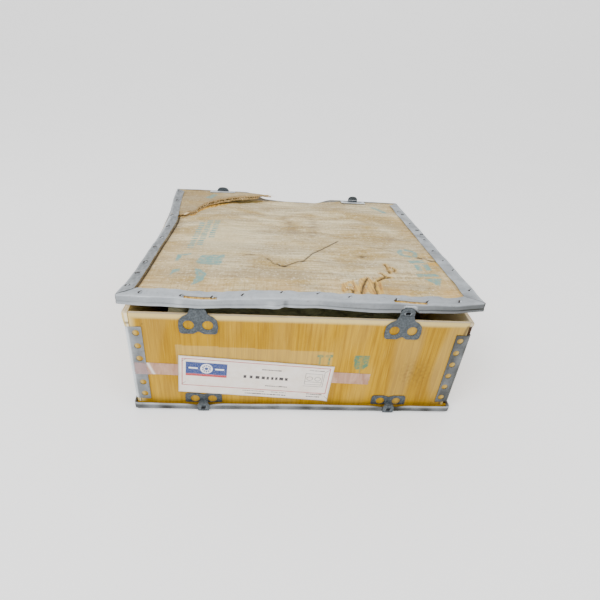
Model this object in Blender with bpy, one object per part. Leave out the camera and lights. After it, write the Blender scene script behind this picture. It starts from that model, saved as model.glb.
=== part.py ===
"""Spherical roller bearing lying flat in its plywood transport crate.

Metres, +Z up. The origin is the centre of the crate's footprint, on the surface that it stands on;
-Y is the labelled front. The crate is a plywood sleeve of four walls between a steel-edged base and a
loose steel-edged lid, locked by sheet-steel clasps. The lid stands propped open a little at the front.
"""

import math

import bmesh
import bpy
from mathutils import Matrix, Vector

# ---- crate ----
PLY = 0.006  # plywood thickness
STEEL = 0.001  # rim and corner steel
CLASP_STEEL = 0.0012
GAP = 0.0003  # kept between touching pieces
LIFT = 0.0025  # the base stands this high on the bent clasp tongues
SLEEVE = 0.466  # front to back outside of the sleeve
SLEEVE_WIDTH = 0.476  # its side walls stand further out, just inside the lid rim
SLEEVE_TOP = LIFT + 0.1623
BASE = 0.4823  # outside of the base rim
BASE_LIP = 0.011  # height of the base rim
BASE_FLANGE = 0.022
LID = 0.480  # outside of the lid rim
LID_SKIRT = 0.0085  # how far the rim hangs below the lid's plywood
LID_FLANGE = 0.0215
LID_TILT = math.radians(3.1)  # front edge raised
TAB_DEPTH = 0.0115  # top flange round the two back slots
BACK_LIP = 0.0025  # top flange elsewhere along the back

# ---- clasps ----
HOLE_PITCH = 0.0254
HOLE_R = 0.00725
EAR_R = 0.0145
LOW_EAR_R = 0.0122
UPPER_HOLES_Z = LIFT + 0.147
LOWER_HOLES_Z = LIFT + 0.0128
NECK = 0.021  # width of an upper clasp's neck and tongue
FOOT = 0.014  # width of a lower clasp's tongue
BEND_Z = LIFT + 0.1722  # fold line of the upper tongues
TONGUE = 0.0135
TONGUE_HOLE = (0.0062, 0.0022)  # height above the fold line, and radius
FOLD_GAP = 0.0009  # a neck ends this far below its fold line
TONGUE_LEAN = math.radians(8)  # the front right tongue leans out, in front of the lid rim
UPPER_X = {"left": -0.1425, "right": 0.138}
LOWER_X = {"left": -0.1405, "right": 0.1415}
SLOT = (0.040, 0.0056)
NOTCH = (0.046, 0.0092)  # in the lid's plywood, under a slot
DENT = 0.0082  # the lid's front skirt is pushed in behind the leaning tongue
DENT_HALF = (0.0225, 0.0125)  # half widths of the dent's edge and of its flat
TAB_MARGIN = 0.003  # a back tab is this much longer than its notch, at each end
HOOK_GAP = 0.0005  # between a lower clasp's hook and the base rim
HOOK_UNDER = 0.0025  # how far the hook reaches in under the sleeve's outer face

# ---- corner angles ----
ANGLE_WIDTH = 0.0223
ANGLE_HOLE_IN = 0.0145  # from the fold to the holes' middle
ANGLE_Z = (LIFT + 0.0145, LIFT + 0.142)
ANGLE_HOLES = 6
ANGLE_HOLE_R = 0.0047
ANGLE_PITCH = 0.0215

# ---- label and tape ----
LABEL = (0.222, 0.067)
LABEL_AT = (-0.0634, LIFT + 0.0551)
LABEL_TURN = math.radians(4.2)
TAPE = (0.320, 0.0205)
TAPE_AT = (-0.055, LIFT + 0.0643)
TAPE_TURN = math.radians(2.4)
PAPER = 0.0003

# ---- bearing ----
BORE_R = 0.130  # small end of the bore
TAPER = 1 / 24  # radius gained per length: a bore tapered 1:12 on diameter
OUTER_R = 0.220
WIDTH = 0.144
SPHERE_R = 0.2030  # outer raceway, about the bearing's centre
SHOULDER_R = 0.1505  # inner ring beside the raceways
ROLLERS = 21  # in each row
ROLLER_R = 0.0217
ROLLER_HALF = 0.025
CROWN_R = 0.199  # barrel profile of a roller
CONTACT = math.radians(10.8)
PITCH_DISTANCE = 0.181  # roller centre to bearing centre
RACE_GAP = 0.0005
FACET_ROOM = 0.0007  # added to the outer raceway, so that its flats clear the rollers
GROOVE = (0.0167, 0.0026)  # lubrication groove: width and depth
OIL_HOLE_R = 0.0045
CAGE = 0.0028  # cage sheet
CAGE_BARS = (0.0032, 0.003)  # width of a cage's rim beyond the windows: inner end, outer end
CAGE_FLANGE = (0.0125, 0.0022)  # depth and thickness of the flange at its outer end
WINDOW_SHARE = 0.84  # of the cage's pitch
GUIDE_R = (0.1633, 0.1775)
END_PLAY = 0.0006  # between the guide ring and the rollers' inner ends
RING_CHAMFERS = (0.004, 0.003)  # outer ring, inner ring
ROLLER_CHAMFER = 0.0014
WIRE = (0.005, 0.002)  # lower row's wire: distance outside the pitch cone, and half its side
RING_STEPS = 63
BEARING_Z = LIFT + STEEL + PLY + 2 * GAP + GAP + WIDTH / 2

FRONT = -SLEEVE / 2  # the front wall's outer face
CLASP_Y = FRONT - GAP - CLASP_STEEL / 2  # middle of the clasps' sheet


def clear_scene():
    for obj in list(bpy.data.objects):
        bpy.data.objects.remove(obj)


def material(name, colour, roughness, metallic=0.0):
    made = bpy.data.materials.new(name)
    made.use_nodes = True
    shader = made.node_tree.nodes["Principled BSDF"]
    shader.inputs["Base Color"].default_value = (*colour, 1)
    shader.inputs["Roughness"].default_value = roughness
    shader.inputs["Metallic"].default_value = metallic
    made.diffuse_color = (*colour, 1)
    return made


def add(name, bm, finish, location=(0, 0, 0), turn=(0, 0, 0), parent=None):
    """Makes a bmesh an object with outward faces, placed by its location and rotation."""
    bmesh.ops.recalc_face_normals(bm, faces=bm.faces)
    mesh = bpy.data.meshes.new(name)
    bm.to_mesh(mesh)
    bm.free()
    mesh.set_sharp_from_angle(angle=math.radians(35))
    if finish:
        mesh.materials.append(finish)
    return place(name, mesh, location, turn, parent)


def place(name, mesh, location=(0, 0, 0), turn=(0, 0, 0), parent=None):
    obj = bpy.data.objects.new(name, mesh)
    bpy.context.scene.collection.objects.link(obj)
    obj.location = location
    obj.rotation_euler = turn
    obj.parent = parent
    return obj


def combine(obj, name, bm, operation="DIFFERENCE"):
    """Cuts a helper mesh from an object, or joins it on, by a Boolean modifier."""
    helper = add(name, bm, None)
    helper.parent = obj
    helper.hide_render = True
    helper.display_type = "WIRE"
    boolean = obj.modifiers.new(name, "BOOLEAN")
    boolean.operation = operation
    boolean.solver = "EXACT"
    boolean.object = helper


def box(bm, low, high):
    """Adds a box between two corners."""
    middle = (Vector(low) + Vector(high)) / 2
    size = Vector(high) - Vector(low)
    at = Matrix.Translation(middle) @ Matrix.Diagonal((*size, 1))
    bmesh.ops.create_cube(bm, size=1, matrix=at)
    return bm


def rod(bm, centre, radius, length, axis, sides):
    """Adds a cylinder with its middle at centre, along axis."""
    turn = Vector((0, 0, 1)).rotation_difference(Vector(axis)).to_matrix().to_4x4()
    bmesh.ops.create_cone(
        bm,
        cap_ends=True,
        segments=sides,
        radius1=radius,
        radius2=radius,
        depth=length,
        matrix=Matrix.Translation(centre) @ turn,
    )
    return bm


def extruded(outline, y0, y1):
    """A plate from an outline of (x, z) points, between two y planes."""
    bm = bmesh.new()
    face = bm.faces.new([bm.verts.new((x, y0, z)) for x, z in outline])
    swept = bmesh.ops.extrude_face_region(bm, geom=[face])
    moved = [item for item in swept["geom"] if isinstance(item, bmesh.types.BMVert)]
    bmesh.ops.translate(bm, verts=moved, vec=(0, y1 - y0, 0))
    return bm


def turned(profile, steps=RING_STEPS):
    """A full turn about Z of a closed profile of (r, z) points."""
    bm = bmesh.new()
    rings = []
    for i in range(steps):
        angle = 2 * math.pi * i / steps
        c, s = math.cos(angle), math.sin(angle)
        rings.append([bm.verts.new((r * c, r * s, z)) for r, z in profile])
    for i in range(steps):
        here, there = rings[i], rings[(i + 1) % steps]
        for j in range(len(profile)):
            k = (j + 1) % len(profile)
            bm.faces.new((here[j], there[j], there[k], here[k]))
    return bm


# ---- sleeve and base ----


def walls(ply):
    """The side walls run the full depth; the front and back walls stand between them."""
    half, side = SLEEVE / 2, SLEEVE_WIDTH / 2
    low = LIFT + STEEL + PLY + 2 * GAP + GAP
    reach = side - PLY - GAP
    for name, turn in (("front", 0), ("back", math.pi)):
        bm = box(bmesh.new(), (-reach, -half, low), (reach, PLY - half, SLEEVE_TOP))
        add("wall_" + name, bm, ply, turn=(0, 0, turn))
    for name, turn in (("left", 0), ("right", math.pi)):
        bm = box(bmesh.new(), (-side, -half, low), (PLY - side, half, SLEEVE_TOP))
        add("wall_" + name, bm, ply, turn=(0, 0, turn))


def rim_profile(bm, half, section, stations):
    """Lofts a rim along X. A section point is (depth in from the outer face, z); a station is
    (x, push), with x = None at the two mitred ends and push moving the section's free edge in."""
    rings = []
    for side, (x, push) in zip([-1] + [0] * (len(stations) - 2) + [1], stations):
        ring = []
        for depth, z, free in section:
            along = side * (half - depth - GAP) if side else x
            ring.append(bm.verts.new((along, -half + depth + push * free, z)))
        rings.append(ring)
    bm.faces.new(rings[0])
    bm.faces.new(rings[-1])
    for here, there in zip(rings, rings[1:]):
        for j in range(len(section)):
            k = (j + 1) % len(section)
            bm.faces.new((here[j], here[k], there[k], there[j]))
    return bm


def base(ply, steel):
    half, side = SLEEVE / 2 - GAP, SLEEVE_WIDTH / 2 - GAP
    bottom = LIFT + STEEL + GAP
    board = box(bmesh.new(), (-side, -half, bottom), (side, half, bottom + PLY))
    add("base_panel", board, ply)
    section = (
        (0, LIFT, 0),
        (BASE_FLANGE, LIFT, 0),
        (BASE_FLANGE, LIFT + STEEL, 0),
        (STEEL, LIFT + STEEL, 0),
        (STEEL, LIFT + BASE_LIP, 0),
        (0, LIFT + BASE_LIP, 0),
    )
    for turn, name in enumerate(("front", "right", "back", "left")):
        bm = rim_profile(bmesh.new(), BASE / 2, section, ((None, 0), (None, 0)))
        add("base_rim_" + name, bm, steel, turn=(0, 0, turn * math.pi / 2))


def corner_angles(steel):
    """Pierced angles on the sleeve's four upright edges."""
    low, high = ANGLE_Z
    first = (low + high - (ANGLE_HOLES - 1) * ANGLE_PITCH) / 2
    x_out, y_out = SLEEVE_WIDTH / 2 + GAP + STEEL, SLEEVE / 2 + GAP + STEEL
    for name, sx, sy in (
        ("front_left", -1, -1),
        ("front_right", 1, -1),
        ("back_right", 1, 1),
        ("back_left", -1, 1),
    ):
        bm = bmesh.new()
        outline = (
            (x_out, y_out),
            (x_out - ANGLE_WIDTH, y_out),
            (x_out - ANGLE_WIDTH, y_out - STEEL),
            (x_out - STEEL, y_out - STEEL),
            (x_out - STEEL, y_out - ANGLE_WIDTH),
            (x_out, y_out - ANGLE_WIDTH),
        )
        face = bm.faces.new([bm.verts.new((sx * x, sy * y, low)) for x, y in outline])
        swept = bmesh.ops.extrude_face_region(bm, geom=[face])
        moved = [item for item in swept["geom"] if isinstance(item, bmesh.types.BMVert)]
        bmesh.ops.translate(bm, verts=moved, vec=(0, 0, high - low))
        angle = add("corner_angle_" + name, bm, steel)
        holes = bmesh.new()
        for i in range(ANGLE_HOLES):
            z = first + i * ANGLE_PITCH
            on_front = (sx * (x_out - ANGLE_HOLE_IN), sy * y_out, z)
            on_side = (sx * x_out, sy * (y_out - ANGLE_HOLE_IN), z)
            rod(holes, on_front, ANGLE_HOLE_R, 3 * STEEL, (0, 1, 0), 8)
            rod(holes, on_side, ANGLE_HOLE_R, 3 * STEEL, (1, 0, 0), 8)
        combine(angle, "cut_angle_" + name, holes)


# ---- clasps ----


def clasp_outline(ear, neck, top):
    """A two-eared plate with a neck: points about the middle between its two holes."""
    half = [(0, -0.8 * ear)]
    for i in range(7):
        angle = math.radians(-105 + 140 * i / 6)
        half.append((HOLE_PITCH / 2 + ear * math.cos(angle), ear * math.sin(angle)))
    half += [(neck / 2 + 0.0015, 1.3 * ear), (neck / 2, top)]
    return half + [(-x, z) for x, z in reversed(half[1:])]


def clasp_holes(z):
    bm = bmesh.new()
    for side in (-1, 1):
        at = (side * HOLE_PITCH / 2, CLASP_Y, z)
        rod(bm, at, HOLE_R, 4 * CLASP_STEEL, (0, 1, 0), 14)
    return bm


def upper_clasps(steel):
    """Each is a plate on the wall and, above the fold line, a tongue that turns about it."""
    for row, turn in (("front", 0), ("back", math.pi)):
        for side, x in UPPER_X.items():
            name = f"{row}_{side}"
            facing = -1 if turn else 1
            outline = clasp_outline(EAR_R, NECK, BEND_Z - FOLD_GAP - UPPER_HOLES_Z)
            outline = [(u, UPPER_HOLES_Z + w) for u, w in outline]
            y = CLASP_STEEL / 2
            bm = extruded(outline, CLASP_Y - y, CLASP_Y + y)
            plate = add("clasp_plate_" + name, bm, steel, (x, 0, 0), (0, 0, turn))
            combine(plate, "cut_plate_" + name, clasp_holes(UPPER_HOLES_Z))
            lean = TONGUE_LEAN if name == "front_right" else 0
            bm = tongue_shape()
            at = (x, facing * CLASP_Y, BEND_Z)
            tongue = add("tongue_" + name, bm, steel, at, (lean, 0, turn))
            up, radius = TONGUE_HOLE
            hole = rod(bmesh.new(), (0, 0, up), radius, 4 * CLASP_STEEL, (0, 1, 0), 8)
            combine(tongue, "cut_tongue_" + name, hole)


def tongue_shape():
    """The free end of an upper clasp: a tab with a rounded end, from its fold line up."""
    half, rise = NECK / 2, TONGUE / 2
    outline = [(-half, 0), (half, 0)]
    for i in range(7):
        angle = math.radians(10 + 160 * i / 6)
        outline.append((half * math.cos(angle), rise + rise * math.sin(angle)))
    return extruded(outline, -CLASP_STEEL / 2, CLASP_STEEL / 2)


def lower_clasps(steel):
    """Each is a plate on the wall whose tongue steps out over the base rim and hooks under it."""
    lip_top = LIFT + BASE_LIP
    step = lip_top + HOOK_GAP
    outer = -BASE / 2 - HOOK_GAP - CLASP_STEEL
    under = FRONT - HOOK_UNDER
    for row, turn in (("front", 0), ("back", math.pi)):
        for side, x in LOWER_X.items():
            name = f"{row}_{side}"
            outline = clasp_outline(LOW_EAR_R, 2 * FOOT, LOW_EAR_R)
            outline = [(u, LOWER_HOLES_Z - w) for u, w in outline if w < LOW_EAR_R * 0.35]
            y = CLASP_STEEL / 2
            bm = extruded(outline, CLASP_Y - y, CLASP_Y + y)
            plate = add("lower_clasp_" + name, bm, steel, (x, 0, 0), (0, 0, turn))
            combine(plate, "cut_lower_" + name, clasp_holes(LOWER_HOLES_Z))
            combine(plate, "hook_" + name, hook(outer, under, step), "UNION")


def hook(outer, under, step):
    """The bent tongue of a lower clasp, as a strip along X with a profile in Y and Z."""
    inner = outer + CLASP_STEEL
    profile = (
        (CLASP_Y, step),
        (CLASP_Y, step + CLASP_STEEL),
        (outer, step + CLASP_STEEL),
        (outer, 0),
        (under, 0),
        (under, CLASP_STEEL),
        (inner, CLASP_STEEL),
        (inner, step),
    )
    bm = bmesh.new()
    face = bm.faces.new([bm.verts.new((-FOOT / 2, y, z)) for y, z in profile])
    swept = bmesh.ops.extrude_face_region(bm, geom=[face])
    moved = [item for item in swept["geom"] if isinstance(item, bmesh.types.BMVert)]
    bmesh.ops.translate(bm, verts=moved, vec=(FOOT, 0, 0))
    return bm


# ---- lid ----


def lid(ply, steel):
    """The lid's parts, in a frame at its back edge that is tilted about X."""
    frame = bpy.data.objects.new("lid_frame", None)
    bpy.context.scene.collection.objects.link(frame)
    frame.location = (0, LID / 2, SLEEVE_TOP + GAP)
    frame.rotation_euler = (-LID_TILT, 0, 0)
    middle = (0, -LID / 2, 0)

    half = LID / 2 - STEEL - GAP
    board = box(bmesh.new(), (-half, -half, 0), (half, half, PLY))
    panel = add("lid_panel", board, ply, middle, parent=frame)
    notches = bmesh.new()
    for facing in (-1, 1):
        for x in UPPER_X.values():
            near, far = LID / 2 - NOTCH[1], LID / 2 + 0.01
            y0, y1 = sorted((facing * near, facing * far))
            box(notches, (x - NOTCH[0] / 2, y0, -PLY), (x + NOTCH[0] / 2, y1, 2 * PLY))
    combine(panel, "cut_lid_notches", notches)

    top = PLY + GAP
    for turn, name in enumerate(("front", "right", "back", "left")):
        flange = TAB_DEPTH if name == "back" else LID_FLANGE
        section = (
            (0, top + STEEL, 0),
            (0, -LID_SKIRT, 1),
            (STEEL, -LID_SKIRT, 1),
            (STEEL, top, 0),
            (flange, top, 0),
            (flange, top + STEEL, 0),
        )
        x = UPPER_X["right"]
        ends = ((None, 0), (None, 0))
        edge, flat = DENT_HALF
        pushed = ((x - edge, 0), (x - flat, DENT), (x + flat, DENT), (x + edge, 0))
        stations = (ends[0], *pushed, ends[1]) if name == "front" else ends
        bm = rim_profile(bmesh.new(), LID / 2, section, stations)
        rim = add("lid_rim_" + name, bm, steel, middle, (0, 0, turn * math.pi / 2), frame)
        if name in ("front", "back"):
            combine(rim, "cut_slots_" + name, slots(name, top))


def slots(name, top):
    """Cutters for a rim's two slots and, at the back, for the flange between its tabs."""
    bm = bmesh.new()
    y = CLASP_Y
    for x in UPPER_X.values():
        x = -x if name == "back" else x
        low = (x - SLOT[0] / 2, y - SLOT[1] / 2, top - STEEL)
        box(bm, low, (x + SLOT[0] / 2, y + SLOT[1] / 2, top + 3 * STEEL))
    if name == "back":
        edges = [-LID / 2 - 0.01]
        for x in sorted(-x for x in UPPER_X.values()):
            edges += [x - NOTCH[0] / 2 - TAB_MARGIN, x + NOTCH[0] / 2 + TAB_MARGIN]
        edges.append(LID / 2 + 0.01)
        inner = -LID / 2 + BACK_LIP
        for x0, x1 in zip(edges[::2], edges[1::2]):
            box(bm, (x0, inner, top - STEEL), (x1, inner + 0.02, top + 3 * STEEL))
    return bm


# ---- label and tape ----


def label_and_tape(paper, tape):
    """A tape band on the front wall, with the label over it."""
    tape_y = FRONT - GAP - PAPER / 2
    label_y = tape_y - PAPER - GAP
    for name, size, at, turn, y, finish in (
        ("tape_band", TAPE, TAPE_AT, TAPE_TURN, tape_y, tape),
        ("shipping_label", LABEL, LABEL_AT, LABEL_TURN, label_y, paper),
    ):
        half = (size[0] / 2, PAPER / 2, size[1] / 2)
        bm = box(bmesh.new(), [-h for h in half], half)
        add(name, bm, finish, (at[0], y, at[1]), (0, turn, 0))


# ---- bearing ----


def along_contact(distance, across, row=1):
    """(r, z) at a distance from the bearing's centre along a row's contact line, moved across it."""
    r = distance * math.cos(CONTACT) - across * math.sin(CONTACT)
    return r, row * (distance * math.sin(CONTACT) + across * math.cos(CONTACT))


def crown(across):
    """How much smaller a roller's radius is at this distance from its middle."""
    return across * across / (2 * CROWN_R)


def outer_ring(steel):
    chamfer, half = RING_CHAMFERS[0], WIDTH / 2
    width, depth = GROOVE
    race_r = SPHERE_R + FACET_ROOM
    profile = []
    for i in range(7):
        z = -half + WIDTH * i / 6
        profile.append((math.sqrt(race_r**2 - z**2), z))
    profile += [
        (OUTER_R - chamfer, half),
        (OUTER_R, half - chamfer),
        (OUTER_R, width / 2),
        (OUTER_R - depth, width / 2 - depth),
        (OUTER_R - depth, -width / 2 + depth),
        (OUTER_R, -width / 2),
        (OUTER_R, -half + chamfer),
        (OUTER_R - chamfer, -half),
    ]
    ring = add("outer_ring", turned(profile), steel, (0, 0, BEARING_Z))
    holes = bmesh.new()
    for i in range(3):
        angle = math.radians(90 + 120 * i)
        way = Vector((math.cos(angle), math.sin(angle), 0))
        rod(holes, way * (OUTER_R - 0.01), OIL_HOLE_R, 0.06, way, 10)
    combine(ring, "cut_oil_holes", holes)


def inner_ring(steel):
    chamfer, half = RING_CHAMFERS[1], WIDTH / 2
    race = []
    for i in range(5):
        across = ROLLER_HALF * 1.03 * (1 - i / 2)
        race.append(along_contact(PITCH_DISTANCE - ROLLER_R - RACE_GAP + crown(across), across))
    profile = [
        (BORE_R + chamfer / 2, -half),
        (BORE_R, -half + chamfer),
        (BORE_R + TAPER * WIDTH, half - chamfer),
        (BORE_R + TAPER * WIDTH + chamfer / 2, half),
        (SHOULDER_R - chamfer, half),
        (SHOULDER_R, half - chamfer),
    ]
    profile += race + [(r, -z) for r, z in reversed(race)]
    profile += [(SHOULDER_R, -half + chamfer), (SHOULDER_R - chamfer, -half)]
    add("inner_ring", turned(profile[::-1]), steel, (0, 0, BEARING_Z))


def guide_ring(steel):
    """A loose ring between the rows, as wide as the rollers' inner ends leave room for."""
    inner, outer = GUIDE_R

    def half_at(r):
        end = along_contact(PITCH_DISTANCE, -ROLLER_HALF)
        return end[1] - (end[0] - r) * math.tan(CONTACT) - END_PLAY

    profile = (
        (inner, -half_at(inner)),
        (inner, half_at(inner)),
        (outer, half_at(outer)),
        (outer, -half_at(outer)),
    )
    add("guide_ring", turned(profile), steel, (0, 0, BEARING_Z))


def cage(name, row, steel):
    """A pressed cage for one row: a cone of sheet through the rollers' middles, with a window for
    each roller and a flange turned in at its outer end."""
    sheet, edge = CAGE / 2, ROLLER_HALF + 0.0004
    ends = (-edge - CAGE_BARS[0], -edge, edge, edge + CAGE_BARS[1])
    outside = [along_contact(PITCH_DISTANCE + sheet, s) for s in ends]
    inside = [along_contact(PITCH_DISTANCE - sheet, s) for s in ends]
    depth, thick = CAGE_FLANGE
    flange = [
        along_contact(PITCH_DISTANCE - depth, ends[3]),
        along_contact(PITCH_DISTANCE - depth, ends[3] - thick),
        along_contact(PITCH_DISTANCE - sheet, ends[3] - thick),
    ]
    profile = outside + flange + inside[2::-1]
    windows = (1, len(profile) - 3)  # the edges of the profile that the windows open
    step = 2 * math.pi / ROLLERS
    open_half = step * WINDOW_SHARE / 2
    bm = bmesh.new()
    rings = []
    for i in range(ROLLERS):
        for offset in (-open_half, 0, open_half):
            angle = i * step + offset
            c, s = math.cos(angle), math.sin(angle)
            rings.append([bm.verts.new((r * c, r * s, row * z)) for r, z in profile])
    count = len(profile)
    a, b = windows
    for i, here in enumerate(rings):
        there = rings[(i + 1) % len(rings)]
        window = i % 3 != 2
        for j in range(count):
            k = (j + 1) % count
            if not (window and j in windows):
                bm.faces.new((here[j], there[j], there[k], here[k]))
        if window:
            bm.faces.new((here[a], there[a], there[b + 1], here[b + 1]))
            bm.faces.new((here[a + 1], here[b], there[b], there[a + 1]))
        if i % 3 != 1:
            bm.faces.new((here[a], here[a + 1], here[b], here[b + 1]))
    return add(name, bm, steel, (0, 0, BEARING_Z))


def barrel(sides):
    """A crowned roller about Z, with a small chamfer at each end."""
    bm = bmesh.new()
    rings = []
    for s in (-1, -0.94, 0, 0.94, 1):
        z = s * ROLLER_HALF
        r = ROLLER_R - crown(z) - (ROLLER_CHAMFER if abs(s) == 1 else 0)
        ring = []
        for i in range(sides):
            angle = 2 * math.pi * i / sides
            ring.append(bm.verts.new((r * math.cos(angle), r * math.sin(angle), z)))
        rings.append(ring)
    bm.faces.new(rings[0])
    bm.faces.new(rings[-1])
    for here, there in zip(rings, rings[1:]):
        for i in range(sides):
            k = (i + 1) % sides
            bm.faces.new((here[i], here[k], there[k], there[i]))
    bmesh.ops.recalc_face_normals(bm, faces=bm.faces)
    return bm


def roller_place(i, row):
    """Where a roller stands: its centre on the pitch cone, and its axis along the cone."""
    r, z = along_contact(PITCH_DISTANCE, 0, row)
    spin = Matrix.Rotation(2 * math.pi * i / ROLLERS, 4, "Z")
    lean = Matrix.Rotation(-row * CONTACT, 4, "Y")
    return spin @ Matrix.Translation((r, 0, z)) @ lean


def rollers(steel):
    """The upper row's rollers are separate; the lower row's are joined by a thin wire ring."""
    bm = barrel(14)
    mesh = bpy.data.meshes.new("roller")
    bm.to_mesh(mesh)
    bm.free()
    mesh.set_sharp_from_angle(angle=math.radians(35))
    mesh.materials.append(steel)
    for i in range(ROLLERS):
        roller = place(f"roller_upper_{i + 1:02}", mesh)
        roller.matrix_world = Matrix.Translation((0, 0, BEARING_Z)) @ roller_place(i, 1)

    bm = bmesh.new()
    for i in range(ROLLERS):
        one = barrel(12)
        piece = bpy.data.meshes.new("lower_barrel")
        one.transform(roller_place(i, -1))
        one.to_mesh(piece)
        one.free()
        bm.from_mesh(piece)
        bpy.data.meshes.remove(piece)
    row = add("roller_row_lower", bm, steel, (0, 0, BEARING_Z))
    combine(row, "row_wire", row_wire(), "UNION")


def row_wire():
    """A thin ring through the lower rollers, just outside their cage's sheet."""
    out, half = WIRE
    r, z = along_contact(PITCH_DISTANCE + out, 0, -1)
    profile = ((r - half, z - half), (r - half, z + half), (r + half, z + half), (r + half, z - half))
    return turned(profile, 2 * ROLLERS)


def main():
    clear_scene()
    ply = material("plywood", (0.62, 0.43, 0.20), 0.75)
    lid_ply = material("weathered_plywood", (0.52, 0.41, 0.29), 0.85)
    rim_steel = material("rim_steel", (0.45, 0.47, 0.48), 0.5, 0.8)
    clasp_steel = material("clasp_steel", (0.25, 0.28, 0.31), 0.55, 0.8)
    paper = material("label_paper", (0.85, 0.83, 0.81), 0.6)
    tape = material("tape", (0.72, 0.55, 0.45), 0.35)
    bearing_steel = material("bearing_steel", (0.62, 0.63, 0.64), 0.2, 1.0)
    cage_steel = material("cage_steel", (0.30, 0.29, 0.27), 0.45, 0.9)
    base(ply, rim_steel)
    walls(ply)
    corner_angles(rim_steel)
    upper_clasps(clasp_steel)
    lower_clasps(clasp_steel)
    lid(lid_ply, rim_steel)
    label_and_tape(paper, tape)
    outer_ring(bearing_steel)
    inner_ring(bearing_steel)
    guide_ring(cage_steel)
    cage("cage_upper", 1, cage_steel)
    cage("cage_lower", -1, cage_steel)
    rollers(bearing_steel)


main()
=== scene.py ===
"""Looks of a spherical roller bearing in its plywood and sheet-steel transport crate."""

import math

import bmesh
import bpy
import numpy as np
from mathutils import Matrix, Vector
from mathutils.geometry import delaunay_2d_cdt


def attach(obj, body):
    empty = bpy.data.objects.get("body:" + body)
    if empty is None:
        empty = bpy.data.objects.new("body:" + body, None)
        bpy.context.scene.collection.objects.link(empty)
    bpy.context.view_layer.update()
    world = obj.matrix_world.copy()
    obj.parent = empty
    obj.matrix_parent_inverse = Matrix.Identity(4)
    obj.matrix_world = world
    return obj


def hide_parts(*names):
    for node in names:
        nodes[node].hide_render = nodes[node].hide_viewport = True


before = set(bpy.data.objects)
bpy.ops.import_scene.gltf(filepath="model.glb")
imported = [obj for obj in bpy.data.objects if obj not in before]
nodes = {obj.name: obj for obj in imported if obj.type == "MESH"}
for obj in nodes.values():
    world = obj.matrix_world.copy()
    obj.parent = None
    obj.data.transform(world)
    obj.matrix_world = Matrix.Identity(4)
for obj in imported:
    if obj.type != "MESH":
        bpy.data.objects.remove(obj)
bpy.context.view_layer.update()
MM = 0.001

# ---- dimensions shared with the CAD part ----
TILT = math.radians(3.1)
COS, SIN = math.cos(TILT), math.sin(TILT)
LID = 0.480
LID_LOW = 0.1651  # underside of its plywood at the back edge
LID_TOP = 0.0073  # top of the rim's flange above the plywood's underside
SKIRT_END = -0.0085
SLEEVE = 0.233  # front and back faces of the sleeve
SLEEVE_X = 0.238  # outer faces of its side walls
PLY = 0.006
WALL_LOW, WALL_TOP = 0.0104, 0.1648
UPPER_X = {"left": -0.1425, "right": 0.138}
LOWER_X = {"left": -0.1405, "right": 0.1415}
CLASP_Y = 0.2339
CLASP_STEEL = 0.0012
HOLE_PITCH = 0.0254
HOLE_R = 0.00725
UPPER_Z = 0.1495
LOWER_Z = 0.0153
BEND_Z = 0.1747
BASE = 0.24115
BEARING_Z = 0.0824
WIDTH = 0.144
ROLLERS = 21
ROLLER_R, ROLLER_HALF, CROWN_R = 0.0217, 0.025, 0.199
CONTACT = math.radians(10.8)
PITCH_DISTANCE = 0.181


# ---- numbers ----


def fade(t):
    """1 at t <= 0, falling smoothly to 0 at t >= 1."""
    t = np.clip(t, 0, 1)
    return 1 - t * t * (3 - 2 * t)


def table(x, pairs, soft=0.004):
    """Values in mm between listed (mm, mm) pairs, rounded off over about soft metres, in metres."""
    xs, ys = np.array(pairs, float).T * MM
    x = np.asarray(x, float)
    shares = ((-1.5, 0.12), (-0.75, 0.23), (0, 0.3), (0.75, 0.23), (1.5, 0.12))
    return sum(w * np.interp(x + k * soft, xs, ys) for k, w in shares)


def waves(x, y, size, seed, count=9):
    """Smooth noise of about -1 to 1 with features of the given size."""
    own = np.random.default_rng(seed)
    total = 0
    for _ in range(count):
        angle, phase = own.uniform(0, math.tau, 2)
        k = math.tau / (size * own.uniform(0.7, 1.8))
        total = total + np.sin(k * (x * math.cos(angle) + y * math.sin(angle)) + phase)
    return total / math.sqrt(count)


def jagged(x, step, seed):
    """Broken steps of -1 to 1 along a torn edge."""
    own = np.random.default_rng(seed)
    at = np.arange(-0.26, 0.26, step)
    at = at + own.uniform(-0.3, 0.3, len(at)) * step
    return np.interp(x, at, own.uniform(-1, 1, len(at)))


def stations(low, high, step, also=()):
    """Evenly spaced numbers from low to high, moved to hit the special ones exactly."""
    count = max(2, round((high - low) / step) + 1)
    values = list(np.linspace(low, high, count))
    for a in also:
        if low < a < high:
            i = int(np.argmin(np.abs(np.array(values) - a)))
            if 0 < i < len(values) - 1 and abs(values[i] - a) < 0.6 * step:
                values[i] = a
            else:
                values.append(a)
                values.sort()
    return np.array(sorted(set(values)))


def middles(values):
    return (values[1:] + values[:-1]) / 2


def inside(x, y, polygon):
    """Whether points lie in a polygon given in mm."""
    points = np.array(polygon, float) * MM
    found = np.zeros(np.shape(x), bool)
    for (x0, y0), (x1, y1) in zip(points, np.roll(points, -1, 0)):
        if y0 != y1:
            cross = (y0 > y) != (y1 > y)
            found ^= cross & (x < (x1 - x0) * (y - y0) / (y1 - y0) + x0)
    return found


def near(x, y, line, width):
    """1 on a line of (mm, mm) points, falling to 0 at width metres from it."""
    points = np.array(line, float) * MM
    best = np.full(np.shape(x), 1e9)
    for a, b in zip(points, points[1:]):
        d = b - a
        t = np.clip(((x - a[0]) * d[0] + (y - a[1]) * d[1]) / max(d @ d, 1e-12), 0, 1)
        best = np.minimum(best, np.hypot(x - a[0] - t * d[0], y - a[1] - t * d[1]))
    return fade(best / width)


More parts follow.
